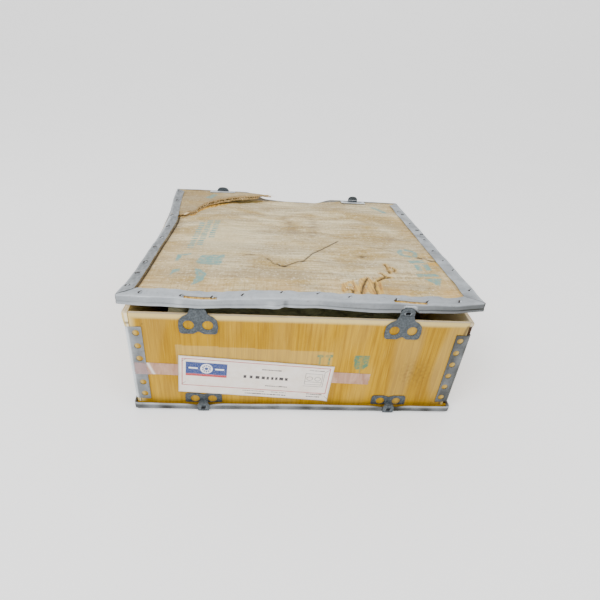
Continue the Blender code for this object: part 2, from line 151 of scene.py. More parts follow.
def spot(x, y, cx, cy, rx, ry):
    """1 at a centre in mm, falling to 0 at an ellipse of the given half-sizes in mm."""
    return fade(np.hypot((x - cx * MM) / (rx * MM), (y - cy * MM) / (ry * MM)))


def hump(x, cx, rx):
    """1 at cx mm, falling to 0 at rx mm from it."""
    return spot(x, x * 0, cx, 0, rx, 1)


def box(x, y, x0, x1, y0, y1):
    """Whether points lie strictly in a rectangle."""
    return (x > x0) & (x < x1) & (y > y0) & (y < y1)


def polar(r, angle, z):
    """Points at a radius and an angle about Z."""
    r, angle, z = np.broadcast_arrays(r, angle, z)
    return np.stack([r * np.cos(angle), r * np.sin(angle), z], -1)


def directed_rim(triangles):
    """The edges that only one triangle uses, in that triangle's direction."""
    directed = dict.fromkeys((p, q) for a, b, c in triangles for p, q in ((a, b), (b, c), (c, a)))
    return [(p, q) for p, q in directed if (q, p) not in directed]


# ---- materials ----


class Graph:
    """A material's nodes. Textures follow the piece's own coordinates, in metres."""

    def __init__(self, name):
        self.material = bpy.data.materials.new(name)
        self.material.use_nodes = True
        self.tree = self.material.node_tree
        self.shader = self.tree.nodes["Principled BSDF"]
        self.place = self.tree.nodes.new("ShaderNodeTexCoord").outputs["Object"]
        self.bumps = None

    def put(self, socket, value):
        if isinstance(value, bpy.types.NodeSocket):
            self.tree.links.new(value, socket)
        elif isinstance(value, tuple) and len(value) == 3 and socket.type == "RGBA":
            socket.default_value = (*value, 1)
        else:
            socket.default_value = value

    def maths(self, operation, a, b=0.0, clamp=False):
        node = self.tree.nodes.new("ShaderNodeMath")
        node.operation = operation
        node.use_clamp = clamp
        self.put(node.inputs[0], a)
        self.put(node.inputs[1], b)
        return node.outputs[0]

    def times(self, a, b):
        return self.maths("MULTIPLY", a, b)

    def attribute(self, name):
        node = self.tree.nodes.new("ShaderNodeAttribute")
        node.attribute_name = name
        return node.outputs["Fac"]

    def painted(self, name, factor):
        return self.times(self.attribute(name), factor)

    def axes(self):
        node = self.tree.nodes.new("ShaderNodeSeparateXYZ")
        self.put(node.inputs[0], self.place)
        return node.outputs

    def vector(self, x, y, z):
        node = self.tree.nodes.new("ShaderNodeCombineXYZ")
        for socket, value in zip(node.inputs, (x, y, z)):
            self.put(socket, value)
        return node.outputs[0]

    def texture(self, kind, where):
        """A texture node at a vector, or at the piece's own place times one or three scales."""
        node = self.tree.nodes.new(kind)
        if not isinstance(where, bpy.types.NodeSocket):
            scale = self.tree.nodes.new("ShaderNodeMapping")
            self.put(scale.inputs["Vector"], self.place)
            scale.inputs["Scale"].default_value = where if isinstance(where, tuple) else (where,) * 3
            where = scale.outputs[0]
        self.put(node.inputs["Vector"], where)
        node.inputs["Scale"].default_value = 1
        return node

    def noise(self, where, detail=3.0, rough=0.55, distortion=0.0):
        node = self.texture("ShaderNodeTexNoise", where)
        node.inputs["Detail"].default_value = detail
        node.inputs["Roughness"].default_value = rough
        node.inputs["Distortion"].default_value = distortion
        return node.outputs["Fac"]

    def cells(self, where, output="Color"):
        return self.texture("ShaderNodeTexVoronoi", where).outputs[output]

    def ramp(self, value, *stops):
        node = self.tree.nodes.new("ShaderNodeValToRGB")
        elements = node.color_ramp.elements
        while len(elements) < len(stops):
            elements.new(0.5)
        for element, (at, colour) in zip(elements, stops):
            element.position = at
            colour = (colour,) * 3 if isinstance(colour, (int, float)) else colour
            element.color = (*colour, 1)
        self.put(node.inputs[0], value)
        return node.outputs[0]

    def mix(self, share, a, b, blend="MIX"):
        """a where the share is 0 and b where it is 1 or more."""
        node = self.tree.nodes.new("ShaderNodeMix")
        node.data_type = "RGBA"
        node.blend_type = blend
        self.put(node.inputs[0], share)
        self.put(node.inputs[6], a)
        self.put(node.inputs[7], b)
        return node.outputs[2]

    def bump(self, height, depth, strength=1.0):
        """Adds relief of a height of 0 to 1 and the given depth in metres."""
        node = self.tree.nodes.new("ShaderNodeBump")
        self.put(node.inputs["Height"], height)
        node.inputs["Distance"].default_value = depth
        node.inputs["Strength"].default_value = strength
        if self.bumps is not None:
            self.tree.links.new(self.bumps, node.inputs["Normal"])
        self.bumps = node.outputs[0]

    def finish(self, colour, roughness, metallic=0.0, **plain):
        self.put(self.shader.inputs["Base Color"], colour)
        self.put(self.shader.inputs["Roughness"], roughness)
        self.put(self.shader.inputs["Metallic"], metallic)
        for name, value in plain.items():
            self.put(self.shader.inputs[name.replace("_", " ")], value)
        if self.bumps is not None:
            self.tree.links.new(self.bumps, self.shader.inputs["Normal"])
        return self.material


def rgb(r, g, b):
    """A colour given as it is seen, 0 to 255."""
    return tuple(((c / 255 + 0.055) / 1.055) ** 2.4 if c > 10 else c / 3295 for c in (r, g, b))


HONEY = rgb(190, 146, 16)
HONEY_DARK = rgb(166, 124, 10)
HONEY_STREAK = rgb(124, 80, 4)
LID_TAN = rgb(188, 160, 98)
LID_PALE = rgb(232, 216, 172)
LID_GREY = rgb(176, 164, 134)
LID_BROWN = rgb(128, 98, 46)
STEEL_DARK = rgb(158, 164, 170)
STEEL_LIGHT = rgb(186, 192, 198)
CLASP_DARK = rgb(52, 58, 62)
CLASP_MID = rgb(72, 79, 84)
CLASP_LIGHT = rgb(98, 105, 110)


def ply_edge(g, face):
    """Shows the plies' alternating layers wherever the depth attribute is between the faces."""
    depth = g.attribute("depth")
    layers = g.maths("PINGPONG", g.times(depth, 5.0), 1.0)
    fibres = g.noise(700, 2)
    cut = g.mix(g.ramp(layers, (0.25, 0), (0.7, 1)), rgb(224, 200, 146), rgb(172, 134, 76))
    cut = g.mix(g.times(fibres, 0.5), cut, rgb(120, 88, 46), "MULTIPLY")
    cut = g.mix(g.painted("pale", 0.85), cut, rgb(250, 236, 204))
    # grime, and painted shade in the gaps at the walls' ends
    cut = g.mix(g.painted("dirt", 0.95), cut, rgb(58, 38, 20))
    amount = g.times(g.ramp(depth, (0.02, 0), (0.06, 1)), g.ramp(depth, (0.94, 1), (0.98, 0)))
    return g.mix(amount, face, cut)


def honey_ply():
    """Varnished-looking yellow plywood with upright grain, the same on all four walls, with painted light
    and shade.
    """
    g = Graph("honey_plywood")
    x, y, z = g.axes()
    across = g.maths("ADD", x, y)

    def upright(fine, tall, start, *noise):
        return g.noise(g.vector(g.times(across, fine), g.times(z, tall), start), *noise)

    cloud = upright(26.0, 5.0, 3.0, 4, 0.6, 0.4)
    grain = upright(260.0, 9.0, 0.0, 4, 0.6, 0.3)
    hairs = upright(900.0, 22.0, 7.0, 2, 0.5)
    pores = upright(1500.0, 90.0, 0.0, 1)
    colour = g.mix(g.ramp(cloud, (0.32, 0), (0.66, 1)), HONEY_DARK, HONEY)
    colour = g.mix(g.ramp(grain, (0.36, 0.5), (0.58, 0)), colour, HONEY_STREAK)
    colour = g.mix(g.ramp(hairs, (0.55, 0), (0.8, 0.3)), colour, rgb(224, 190, 84))
    colour = g.mix(g.ramp(pores, (0.66, 0), (0.78, 0.35)), colour, rgb(120, 86, 40))
    colour = g.mix(g.painted("pale", 0.9), colour, rgb(226, 204, 138))
    # painted light: pale cream on the right wall's inner face near the front
    colour = g.mix(g.painted("painted_light", 0.9), colour, rgb(255, 248, 220))
    worn = g.noise((120, 120, 160), 4, 0.65)
    ink = g.times(g.attribute("ink"), g.ramp(worn, (0.38, 0.35), (0.56, 0.9)))
    colour = g.mix(ink, colour, rgb(62, 118, 96))
    # grime, and painted shade in the gaps at the walls' ends
    colour = g.mix(g.painted("dirt", 0.8), colour, rgb(74, 56, 34))
    g.bump(grain, 0.00025, 0.6)
    g.bump(pores, 0.0001, 0.5)
    rough = g.maths("SUBTRACT", 0.62, g.painted("clear", 0.3))
    return g.finish(ply_edge(g, colour), rough, Specular_IOR_Level=0.15)


def lid_ply(name, brown=0.0):
    """Weathered plywood, greyed and stained, with its stencils, cracks and painted shadow lines."""
    g = Graph(name)
    y = g.axes()[1]
    bands = g.noise((4.5, 34, 10), 5, 0.6, 0.6)
    clouds = g.noise((11, 15, 10), 5, 0.62, 0.5)
    grain = g.noise((16, 330, 10), 4, 0.6, 0.3)
    upright = g.noise((520, 22, 10), 3, 0.55)
    speck = g.noise((260, 260, 200), 3, 0.7)
    colour = g.mix(g.ramp(clouds, (0.4, 0), (0.6, 1)), LID_TAN, LID_PALE)
    colour = g.mix(g.ramp(bands, (0.4, 0.65), (0.56, 0)), colour, LID_GREY)
    colour = g.mix(g.ramp(grain, (0.38, 0.55), (0.56, 0)), colour, LID_BROWN)
    front = g.ramp(g.times(g.maths("ADD", y, 0.24), 5.0), (0.1, 1), (0.75, 0.25))
    colour = g.mix(g.times(g.ramp(upright, (0.5, 0), (0.72, 0.5)), front), colour, LID_BROWN)
    colour = g.mix(g.ramp(speck, (0.56, 0), (0.68, 0.55)), colour, rgb(240, 230, 204))
    colour = g.mix(g.ramp(speck, (0.32, 0.6), (0.42, 0)), colour, rgb(112, 88, 48))
    colour = g.mix(g.painted("pale", 0.6), colour, rgb(230, 218, 176))
    colour = g.mix(g.painted("warm", 0.65), colour, rgb(206, 162, 86))
    if brown:
        colour = g.mix(brown, colour, rgb(140, 112, 62))
    worn = g.noise((140, 140, 100), 5, 0.7)
    ink = g.times(g.attribute("ink"), g.ramp(worn, (0.36, 0.3), (0.55, 0.95)))
    colour = g.mix(ink, colour, rgb(112, 156, 150))
    # stains, and painted shade where the lid paints it
    colour = g.mix(g.painted("stain_and_shade", 0.75), colour, rgb(104, 78, 48))
    fibres = g.noise((380, 40, 40), 4, 0.65)
    dark, light = (rgb(118, 88, 44), rgb(226, 200, 140)) if brown else (rgb(150, 98, 20), rgb(232, 186, 78))
    bare = g.mix(g.ramp(fibres, (0.35, 0), (0.62, 1)), dark, light)
    colour = g.mix(g.painted("torn", 1.0), colour, bare)
    # near black in cracks and knots, and along painted shadow lines
    colour = g.mix(g.attribute("crack_and_shadow"), colour, rgb(40, 28, 16))
    g.bump(g.maths("ADD", grain, g.times(upright, 0.4)), 0.0004, 0.7)
    g.bump(fibres, 0.0004, 0.25)
    return g.finish(ply_edge(g, colour), 0.82)


def rim_steel():
    """Galvanised sheet: faint spangle, rub marks, a little grime, painted highlights and painted shade."""
    g = Graph("galvanised_sheet")
    spangle = g.cells(210)
    soft = g.noise(28, 4, 0.6)
    rub = g.noise((40, 160, 320), 4, 0.6)
    colour = g.mix(g.ramp(soft, (0.3, 0), (0.7, 1)), STEEL_DARK, STEEL_LIGHT)
    colour = g.mix(g.times(spangle, 0.16), colour, rgb(226, 232, 236))
    grime = g.noise(150, 5, 0.7)
    colour = g.mix(g.ramp(grime, (0.3, 0.45), (0.42, 0)), colour, rgb(112, 108, 98))
    # painted highlight where a piece paints it
    colour = g.mix(g.painted("painted_highlight", 0.55), colour, rgb(232, 238, 242))
    # grime, and painted shade where a piece paints it
    colour = g.mix(g.painted("dirt", 0.9), colour, rgb(44, 43, 36))
    g.bump(rub, 0.0002, 0.35)
    rough = g.ramp(rub, (0.3, 0.38), (0.7, 0.58))
    # more metallic where darker, so the painted shade reflects less
    metal = g.maths("ADD", 0.45, g.painted("dirt", 0.5), True)
    return g.finish(colour, rough, metal)


def clasp_steel():
    """Mottled blue-grey sheet, scratched and pitted, with painted highlights and black painted into slots
    as shade.
    """
    g = Graph("mottled_clasp_sheet")
    mottle = g.noise(420, 4, 0.75)
    patch = g.noise(90, 3, 0.6)
    pit = g.cells(620, "Distance")
    colour = g.ramp(mottle, (0.33, CLASP_DARK), (0.5, CLASP_MID), (0.68, CLASP_LIGHT))
    colour = g.mix(g.ramp(patch, (0.35, 0.35), (0.6, 0)), colour, CLASP_DARK)
    colour = g.mix(g.ramp(pit, (0.1, 0.6), (0.3, 0)), colour, rgb(52, 56, 62))
    # painted highlight where a piece paints it
    colour = g.mix(g.painted("painted_highlight", 0.7), colour, rgb(190, 198, 206))
    # near black painted into the bosses' slots as shade
    colour = g.mix(g.attribute("dark"), colour, rgb(8, 8, 10))
    g.bump(mottle, 0.0002, 0.5)
    # more metallic there, so the painted slots reflect little
    metal = g.maths("ADD", 0.4, g.painted("dark", 0.6))
    return g.finish(colour, g.ramp(mottle, (0.3, 0.6), (0.7, 0.45)), metal)


def label_paper():
    g = Graph("printed_label_paper")
    pulp = g.noise(900, 3, 0.6)
    soil = g.noise((60, 60, 90), 5, 0.65)
    colour = g.mix(g.ramp(soil, (0.3, 0.5), (0.62, 0)), rgb(236, 228, 220), rgb(212, 196, 176))
    worn = g.noise(700, 3, 0.7)
    for name, ink in (
        ("red", rgb(176, 40, 50)),
        ("blue", rgb(0, 48, 118)),
        ("ink", rgb(26, 24, 30)),
        ("white", rgb(240, 240, 240)),
        ("dirt", rgb(96, 84, 70)),
    ):
        amount = g.times(g.attribute(name), g.ramp(worn, (0.3, 0.7), (0.5, 1)))
        colour = g.mix(amount, colour, ink)
    g.bump(pulp, 0.00006, 0.5)
    g.bump(soil, 0.0003, 0.3)
    return g.finish(colour, 0.5)


def tape_film():
    g = Graph("faded_packing_tape")
    crease = g.noise((120, 120, 26), 4, 0.6, 1.0)
    colour = g.mix(g.ramp(crease, (0.35, 0), (0.65, 1)), rgb(168, 124, 98), rgb(200, 160, 136))
    colour = g.mix(g.painted("thin", 0.7), colour, rgb(178, 174, 194))
    # painted highlight along the crease
    colour = g.mix(g.attribute("pale"), colour, rgb(250, 240, 232))
    g.bump(crease, 0.0005, 0.5)
    alpha = g.maths("SUBTRACT", 0.82, g.painted("thin", 0.42))
    return g.finish(colour, 0.3, Alpha=alpha)


def protective_film():
    """Thick olive-green rust-preventive film, wrinkled and a little translucent."""
    g = Graph("olive_protective_film")
    fold = g.noise((40, 90, 60), 5, 0.6, 1.2)
    colour = g.mix(g.ramp(fold, (0.35, 0), (0.68, 1)), rgb(52, 54, 38), rgb(96, 100, 74))
    # painted highlight: glare on the film
    colour = g.mix(g.painted("pale", 0.75), colour, rgb(196, 200, 178))
    g.bump(fold, 0.0008, 0.6)
    return g.finish(colour, 0.42, Transmission_Weight=0.15, Specular_IOR_Level=0.4)


def bearing_steel(name, tone, rough):
    """Ground bearing steel with fine turning lines round its axis and a thin oil film."""
    g = Graph(name)
    x, y, z = g.axes()
    radius = g.maths("SQRT", g.maths("ADD", g.times(x, x), g.times(y, y)))
    lines = g.noise(g.vector(g.times(radius, 1800.0), g.times(z, 1800.0), 0.0), 2)
    cloud = g.noise(18, 4, 0.6)
    colour = g.mix(g.ramp(cloud, (0.3, 0), (0.7, 1)), tuple(0.8 * c for c in tone), tone)
    colour = g.mix(g.ramp(lines, (0.3, 0.3), (0.7, 0)), colour, tuple(0.55 * c for c in tone))
    g.bump(lines, 0.00003, 0.4)
    roughness = g.ramp(cloud, (0.3, rough * 0.8), (0.7, rough * 1.3))
    return g.finish(colour, roughness, 1.0, Coat_Weight=0.25, Coat_Roughness=0.15)


def staple_steel():
    g = Graph("rusty_staple_wire")
    rust = g.noise(500, 3, 0.7)
    colour = g.ramp(rust, (0.35, rgb(36, 31, 28)), (0.6, rgb(70, 63, 58)))
    g.bump(rust, 0.0001, 0.5)
    return g.finish(colour, 0.6, 0.4)


def torn_wood():
    """Fresh splinters with long fibres."""
    g = Graph("splintered_wood")
    fibres = g.noise((60, 420, 420), 4, 0.7)
    colour = g.mix(g.ramp(fibres, (0.35, 0), (0.65, 1)), rgb(190, 148, 84), rgb(244, 226, 180))
    g.bump(fibres, 0.0004, 0.6)
    return g.finish(colour, 0.8)


ply_finish = honey_ply()
lid_finish = lid_ply("weathered_plywood_lid")
fragment_finish = lid_ply("weathered_plywood_fragment", 0.35)
rim_finish = rim_steel()
clasp_finish = clasp_steel()
paper_finish = label_paper()
tape_finish = tape_film()
film_finish = protective_film()
ring_finish = bearing_steel("ground_bearing_steel", (0.60, 0.61, 0.62), 0.24)
roller_finish = bearing_steel("polished_roller_steel", (0.68, 0.69, 0.70), 0.13)
cage_finish = bearing_steel("pressed_cage_steel", (0.30, 0.29, 0.26), 0.38)
staple_finish = staple_steel()
splinter_finish = torn_wood()


# ---- piece builders ----


def piece(name, points, faces, finish, body, slot, stands_for=(), paint=None, sharp=38):
    """A mesh piece that rides on a body. Paint is attributes by name, one number per point."""
    mesh = bpy.data.meshes.new(name)
    mesh.from_pydata(np.asarray(points, float).tolist(), [], [tuple(map(int, f)) for f in faces])
    for key, values in (paint or {}).items():
        mesh.attributes.new(key, "FLOAT", "POINT").data.foreach_set(
            "value", np.asarray(values, np.float32).ravel()
        )
    mesh.shade_smooth()
    mesh.set_sharp_from_angle(angle=math.radians(sharp))
    mesh.materials.append(finish)
    obj = bpy.data.objects.new(name, mesh)
    bpy.context.scene.collection.objects.link(obj)
    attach(obj, body)
    if stands_for:
        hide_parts(*stands_for)
    return obj


def slab_parts(outer, thickness, keep=None, paint=None, inner_paint=None):
    """Points, faces and paint of a sheet: a grid of outer points, thickened away from du x dv by a
    thickness, or down to a grid of inner points."""
    nu, nv = outer.shape[:2]
    if np.ndim(thickness) < 3:
        du, dv = np.gradient(outer, axis=0), np.gradient(outer, axis=1)
        normal = np.cross(du, dv)
        normal /= np.maximum(np.linalg.norm(normal, axis=-1, keepdims=True), 1e-12)
        thickness = outer - normal * thickness
    points = np.concatenate([outer.reshape(-1, 3), thickness.reshape(-1, 3)])
    keep = np.ones((nu - 1, nv - 1), bool) if keep is None else keep
    index = np.arange(nu * nv).reshape(nu, nv)
    low = index + nu * nv
    i, j = np.nonzero(keep)
    faces = [
        np.stack([index[i, j], index[i + 1, j], index[i + 1, j + 1], index[i, j + 1]], 1),
        np.stack([low[i, j], low[i, j + 1], low[i + 1, j + 1], low[i + 1, j]], 1),
    ]
    padded = np.pad(keep, 1)
    for di, dj, a, b in (
        (-1, 0, (0, 0), (0, 1)),
        (1, 0, (1, 1), (1, 0)),
        (0, -1, (1, 0), (0, 0)),
        (0, 1, (0, 1), (1, 1)),
    ):
        i, j = np.nonzero(keep & ~padded[1 + di : nu + di, 1 + dj : nv + dj])
        p, q = (i + a[0], j + a[1]), (i + b[0], j + b[1])
        faces.append(np.stack([index[p], index[q], low[q], low[p]], 1))
    faces = np.concatenate(faces)
    used = np.unique(faces)
    renumber = np.full(len(points), -1)
    renumber[used] = np.arange(len(used))
    made = {"depth": np.repeat([0.0, 1.0], nu * nv)[used]}
    for key, values in (paint or {}).items():
        under = np.broadcast_to((inner_paint or {}).get(key, 0.0), (nu, nv)).ravel()
        both = np.concatenate([np.broadcast_to(values, (nu, nv)).ravel(), under])
        made[key] = both[used]
    return points[used], renumber[faces][:, ::-1], made


def slab(
    name, outer, thickness, finish, body, slot, stands_for=(), keep=None, paint=None, sharp=38,
    inner_paint=None, flip=False,
):
    """A sheet as a piece. flip is for a grid whose columns run the other way round."""
    if flip:
        outer, keep = outer[:, ::-1], None if keep is None else keep[:, ::-1]
        paint = {key: values[:, ::-1] for key, values in paint.items()}
    points, faces, made = slab_parts(outer, thickness, keep, paint, inner_paint)
    return piece(name, points, faces[:, ::-1], finish, body, slot, stands_for, made, sharp)


def joined(parts):
    """One list of points and one of faces from several."""
    points, faces, start = [], [], 0
    for p, f in parts:
        points.append(np.asarray(p, float))
        faces += [tuple(int(k) + start for k in face) for face in f]
        start += len(p)
    return np.concatenate(points), faces


def plate_parts(outline, holes, thickness, place, extra=()):
    """A flat outline with round holes, cut from sheet. place maps (u, w, depth) arrays to points;
    extra holds further points inside, so that the plate can bend there."""
    loops = [np.asarray(outline, float)]
    for cx, cy, r in holes:
        angles = np.linspace(0, math.tau, 36, endpoint=False)
        loops.append(np.stack([cx + r * np.cos(angles), cy + r * np.sin(angles)], 1))
    verts, edges, start = [], [], 0
    for loop in loops:
        verts += [Vector(p) for p in loop.tolist()]
        n = len(loop)
        edges += [(start + k, start + (k + 1) % n) for k in range(n)]
        start += n
    verts += [Vector(p) for p in extra]
    points, _, faces, *_ = delaunay_2d_cdt(verts, edges, [], 0, 1e-7)
    flat = np.array([tuple(p) for p in points])
    faces = np.array([tuple(f) for f in faces])
    centre = flat[faces].mean(1)
    whole = np.concatenate([loops[0], loops[0][:1]]) / MM
    good = inside(centre[:, 0], centre[:, 1], whole[:-1])
    for cx, cy, r in holes:
        good &= np.hypot(centre[:, 0] - cx, centre[:, 1] - cy) > r * 0.999
    faces = faces[good]
    count = len(flat)
    front = [tuple(f) for f in faces]
    back = [tuple(f[::-1] + count) for f in faces]
    sides = [(q, p, p + count, q + count) for p, q in directed_rim(faces)]
    top = place(flat[:, 0], flat[:, 1], np.zeros(count))
    low = place(flat[:, 0], flat[:, 1], np.full(count, thickness))
    points, faces = np.concatenate([top, low]), front + back + sides
    used = np.unique(np.concatenate([np.array(f) for f in faces]))
    renumber = {int(k): n for n, k in enumerate(used)}
    return points[used], [tuple(renumber[int(k)] for k in f) for f in faces]


def tube_faces(rings, sides):
    """Faces of a tube of rings of points, with both ends closed."""
    faces = []
    for ring in range(rings - 1):
        for k in range(sides):
            a, b = ring * sides + k, ring * sides + (k + 1) % sides
            faces.append((a, b, b + sides, a + sides))
    last = (rings - 1) * sides
    return [*faces, tuple(range(sides))[::-1], tuple(range(last, last + sides))]


def outward(obj, weld=0.0):
    """Turns all faces of a closed piece outward, after joining points nearer than weld."""
    bm = bmesh.new()
    bm.from_mesh(obj.data)
    if weld:
        bmesh.ops.remove_doubles(bm, verts=bm.verts, dist=weld)
    bmesh.ops.recalc_face_normals(bm, faces=bm.faces)
    bm.to_mesh(obj.data)
    bm.free()
    return obj


def applied(obj):
    """Keeps the result of a piece's modifiers as its mesh."""
    graph = bpy.context.evaluated_depsgraph_get()
    mesh = bpy.data.meshes.new_from_object(obj.evaluated_get(graph))
    obj.modifiers.clear()
    obj.data = mesh


def softened(obj, width):
    """Rounds a piece's sharp edges."""
    bevel = obj.modifiers.new("edges", "BEVEL")
    bevel.width, bevel.segments = width, 2
    bevel.limit_method, bevel.angle_limit = "ANGLE", math.radians(40)
    applied(obj)


# ---- sleeve ----
FRONT_HALF = SLEEVE_X - PLY - 0.0003
ANGLE_TOP = 0.1445  # the gap in a wall's end shows from here up to GAP_TOP
GAP_TOP = 0.16
GAP_DEPTH = 0.0035
LEFT_LEAN = 0.0026  # how far the left wall's front corner leans out


def wall(name, turn, half, out, top, step, paint, rounding=0.0, slit=0.0):
    """A plywood wall: its outer face is at -Y before it is turned about Z. The ends can be rounded,
    and the one at slit (-1 or 1) has a gap below its top, painted dark as shade, and painted light inside."""
    ends = [k * (half - e) for k in (-1, 1) for e in (0.0006, 0.0014, 0.0026, 0.004)]
    us = stations(-half, half, step, ends if rounding else ())
    special = (ANGLE_TOP, ANGLE_TOP + 0.0007, GAP_TOP - 0.0004, GAP_TOP + 0.0003, WALL_TOP - 0.0008)
    rows = stations(WALL_LOW, WALL_TOP, step, special)
    u, z = np.meshgrid(us, rows, indexing="ij")
    gap = ((z > ANGLE_TOP + 0.0004) & (z < GAP_TOP) | (z < 0.0172)) & bool(slit)
    at_end = fade((half - u * slit) / 0.0065)
    u = u - slit * GAP_DEPTH * gap * at_end
    share = (z - WALL_LOW) / (WALL_TOP - WALL_LOW)
    drop = top(u) + 0.00018 * waves(u, u * 0, 0.012, 5)
    z = z - np.abs(drop) * share**6
    ease = 0.0004 * fade(np.minimum(half - np.abs(u), WALL_TOP - z) / 0.0012)
    left = np.clip(half - np.abs(u), 0, rounding)
    pull = rounding - np.sqrt(np.maximum(rounding**2 - (rounding - left) ** 2, 0))
    if name == "wall_left":
        pull = pull - LEFT_LEAN * fade((half - u) / 0.05) * np.clip((z - 0.138) / 0.016, 0, 1)
    c, s = math.cos(turn), math.sin(turn)
    outer, inner = (
        np.stack([u * c - y * s, u * s + y * c, z], -1)
        for y in (-out + ease + pull, -out + PLY - 0.0002 - ease)
    )
    colours = paint(u, z)
    # painted shade: the gaps and the last few mm of the slit end are painted dark
    if slit:
        painted_end_shade = np.where(gap, 1.3, 0.45) * fade((half - u * slit - 0.0036) / 0.004)
        colours["dirt"] = np.maximum(colours["dirt"], np.minimum(painted_end_shade, 1.2))
    # the inner face keeps that painted shade near its ends
    within = {"pale": 0.9, "dirt": colours["dirt"] * (half - np.abs(u) < 0.006)}
    # painted light on the inner face, fading over 14 cm from the slit end
    within["painted_light"] = fade((half - u * slit) / 0.14) if slit else 0.0
    colours["painted_light"] = 0 * u
    slab(
        f"{name}_board", outer, inner, ply_finish, "crate", "plywood", (name,), None, colours, 30, within
    )


def front_paint(x, z):
    """Paler edges, the clear tape above the label, stencils, faded handling marks, and painted shade at the
    right end.
    """
    pale = 0.85 * fade((WALL_TOP - z - 0.004) / 0.006)
    pale = np.maximum(pale, 0.75 * fade((FRONT_HALF - np.abs(x)) / 0.010))
    patches = np.clip(0.5 + waves(x, z * 0.3, 0.05, 50), 0, 1)
    pale = np.maximum(pale, 0.2 * patches * (0.35 + 0.65 * fade((0.20 - x) / 0.12)))
    clear = inside(x, z, ((-176, 60), (-176, 115.6), (45, 109), (45, 60)))
    pale = np.maximum(pale, 0.22 * clear)
    # stencils of a goblet and two upright arrows
    ink = inside(x, z, ((76.7, 104.4), (99.3, 104.4), (98.2, 84.5), (93, 79), (81.5, 79), (77.6, 84.5)))
    bars = [(86.7, 89.2, 62, 79), (81, 95, 60, 62)]
    for at in (27, 40):
        bars += [(at - 1.7, at + 1.7, 86, 103), (at - 5, at + 5, 99, 103.5)]
    for bar in bars:
        ink |= box(x / MM, z / MM, *bar)
    # the spot low at the right end and the line down the right end's top are painted shade in the gaps
    # beside the corner angle; the other spots and the patch low right are marks; the wall also darkens
    # towards the bottom and the right
    spots = [(-215.5, 148.5, 2.2, 1.6), (226, 13.5, 3.4, 6), (-229.5, 140, 2, 4)]
    dirt = sum(spot(x, z, *s) for s in spots)
    dirt = dirt + 1.1 * near(x, z, ((230.5, 158), (229, 152), (228, 144)), 0.0042)
    dirt = dirt + 0.4 * spot(x, z, 172, 74, 44, 40) * (0.6 + 0.4 * waves(x, z, 0.006, 8))
    dirt = dirt + 0.10 * fade((z - WALL_LOW) / 0.005) + 0.22 * fade((0.22 - x) / 0.14)
    return {"pale": pale, "ink": ink * 1.0, "dirt": np.clip(dirt, 0, 1), "clear": clear * 1.0}


def plain_paint(x, z):
    pale = 0.5 * fade((WALL_TOP - z) / 0.008) + fade((SLEEVE - np.abs(x)) / 0.008)
    dirt = 0.35 * fade((z - WALL_LOW) / 0.008) + 0.25 * np.clip(waves(x, z, 0.05, 3), 0, 1)
    # the spot at the end (x = SLEEVE) just above the corner angle's top is painted shade in the gap there
    dirt = np.clip(dirt, 0, 1) * 0.6 * (np.abs(x) < 0.226) + spot(x, z, SLEEVE / MM, 149, 2.5, 3)
    return {"pale": np.clip(pale, 0, 1), "dirt": dirt}


PANEL_SAG = (
    (-239, 1.5), (-200, 2), (-141, 2.5), (-113, 3.2), (-69, 4.5), (-42, 5.5), (10, 5.7), (55, 4.2),
    (110, 2), (160, 0.8), (239, 0),
)


def worn_back(u):
    """The back wall's top is crushed where the broken lid rests on it. u runs against X there."""
    x = -u
    return (table(x, PANEL_SAG) + 0.0003) * fade((-0.04 - x) / 0.02)


def flat_top(u):
    """An undamaged wall's top."""
    return u * 0


wall("wall_front", 0, FRONT_HALF, SLEEVE, flat_top, 0.0015, front_paint)
wall("wall_back", math.pi, FRONT_HALF, SLEEVE, worn_back, 0.003, plain_paint)
wall("wall_left", -math.pi / 2, SLEEVE, SLEEVE_X, flat_top, 0.003, plain_paint, 0.0034)
wall("wall_right", math.pi / 2, SLEEVE, SLEEVE_X, flat_top, 0.003, plain_paint, 0.0012, -1)


def refinish(node, finish):
    """Gives a carried-over CAD node its finish."""
    node.data.materials.clear()
    node.data.materials.append(finish)


refinish(nodes["base_panel"], ply_finish)


# ---- rims ----
RIM_SHEET = 0.0009


def mitred(t, depth, length, reach=0.035, radius=0.0035, gap=0.0003):
    """Positions along a rim (t from 0 to length) for points at a depth in from its outer face, cut
    at 45 degrees at both ends, and how far a rounded corner pulls the outer face in."""
    end = np.maximum(depth, 0.293 * radius) + gap
    t = np.where(t < reach, end + t * (1 - end / reach), t)
    back = length - t
    t = np.where(back < reach, length - end - back * (1 - end / reach), t)
    nearest = np.clip(np.minimum(t, length - t), 0, radius)
    pull = radius - np.sqrt(np.maximum(radius**2 - (radius - nearest) ** 2, 0))
    return t, pull * np.clip(1 - depth / radius, 0, 1)


def rim_sheet(side, outer, paint, keep=None, part="lid", body="lid", sharp=50, flip=False):
    """One side of a steel rim, which stands for the CAD's rim of that side."""
    name = f"{part}_rim_{side}"
    slab(
        f"{name}_sheet", outer, RIM_SHEET, rim_finish, body, "rim_steel", (name,), keep, paint, sharp,
        flip=flip,
    )


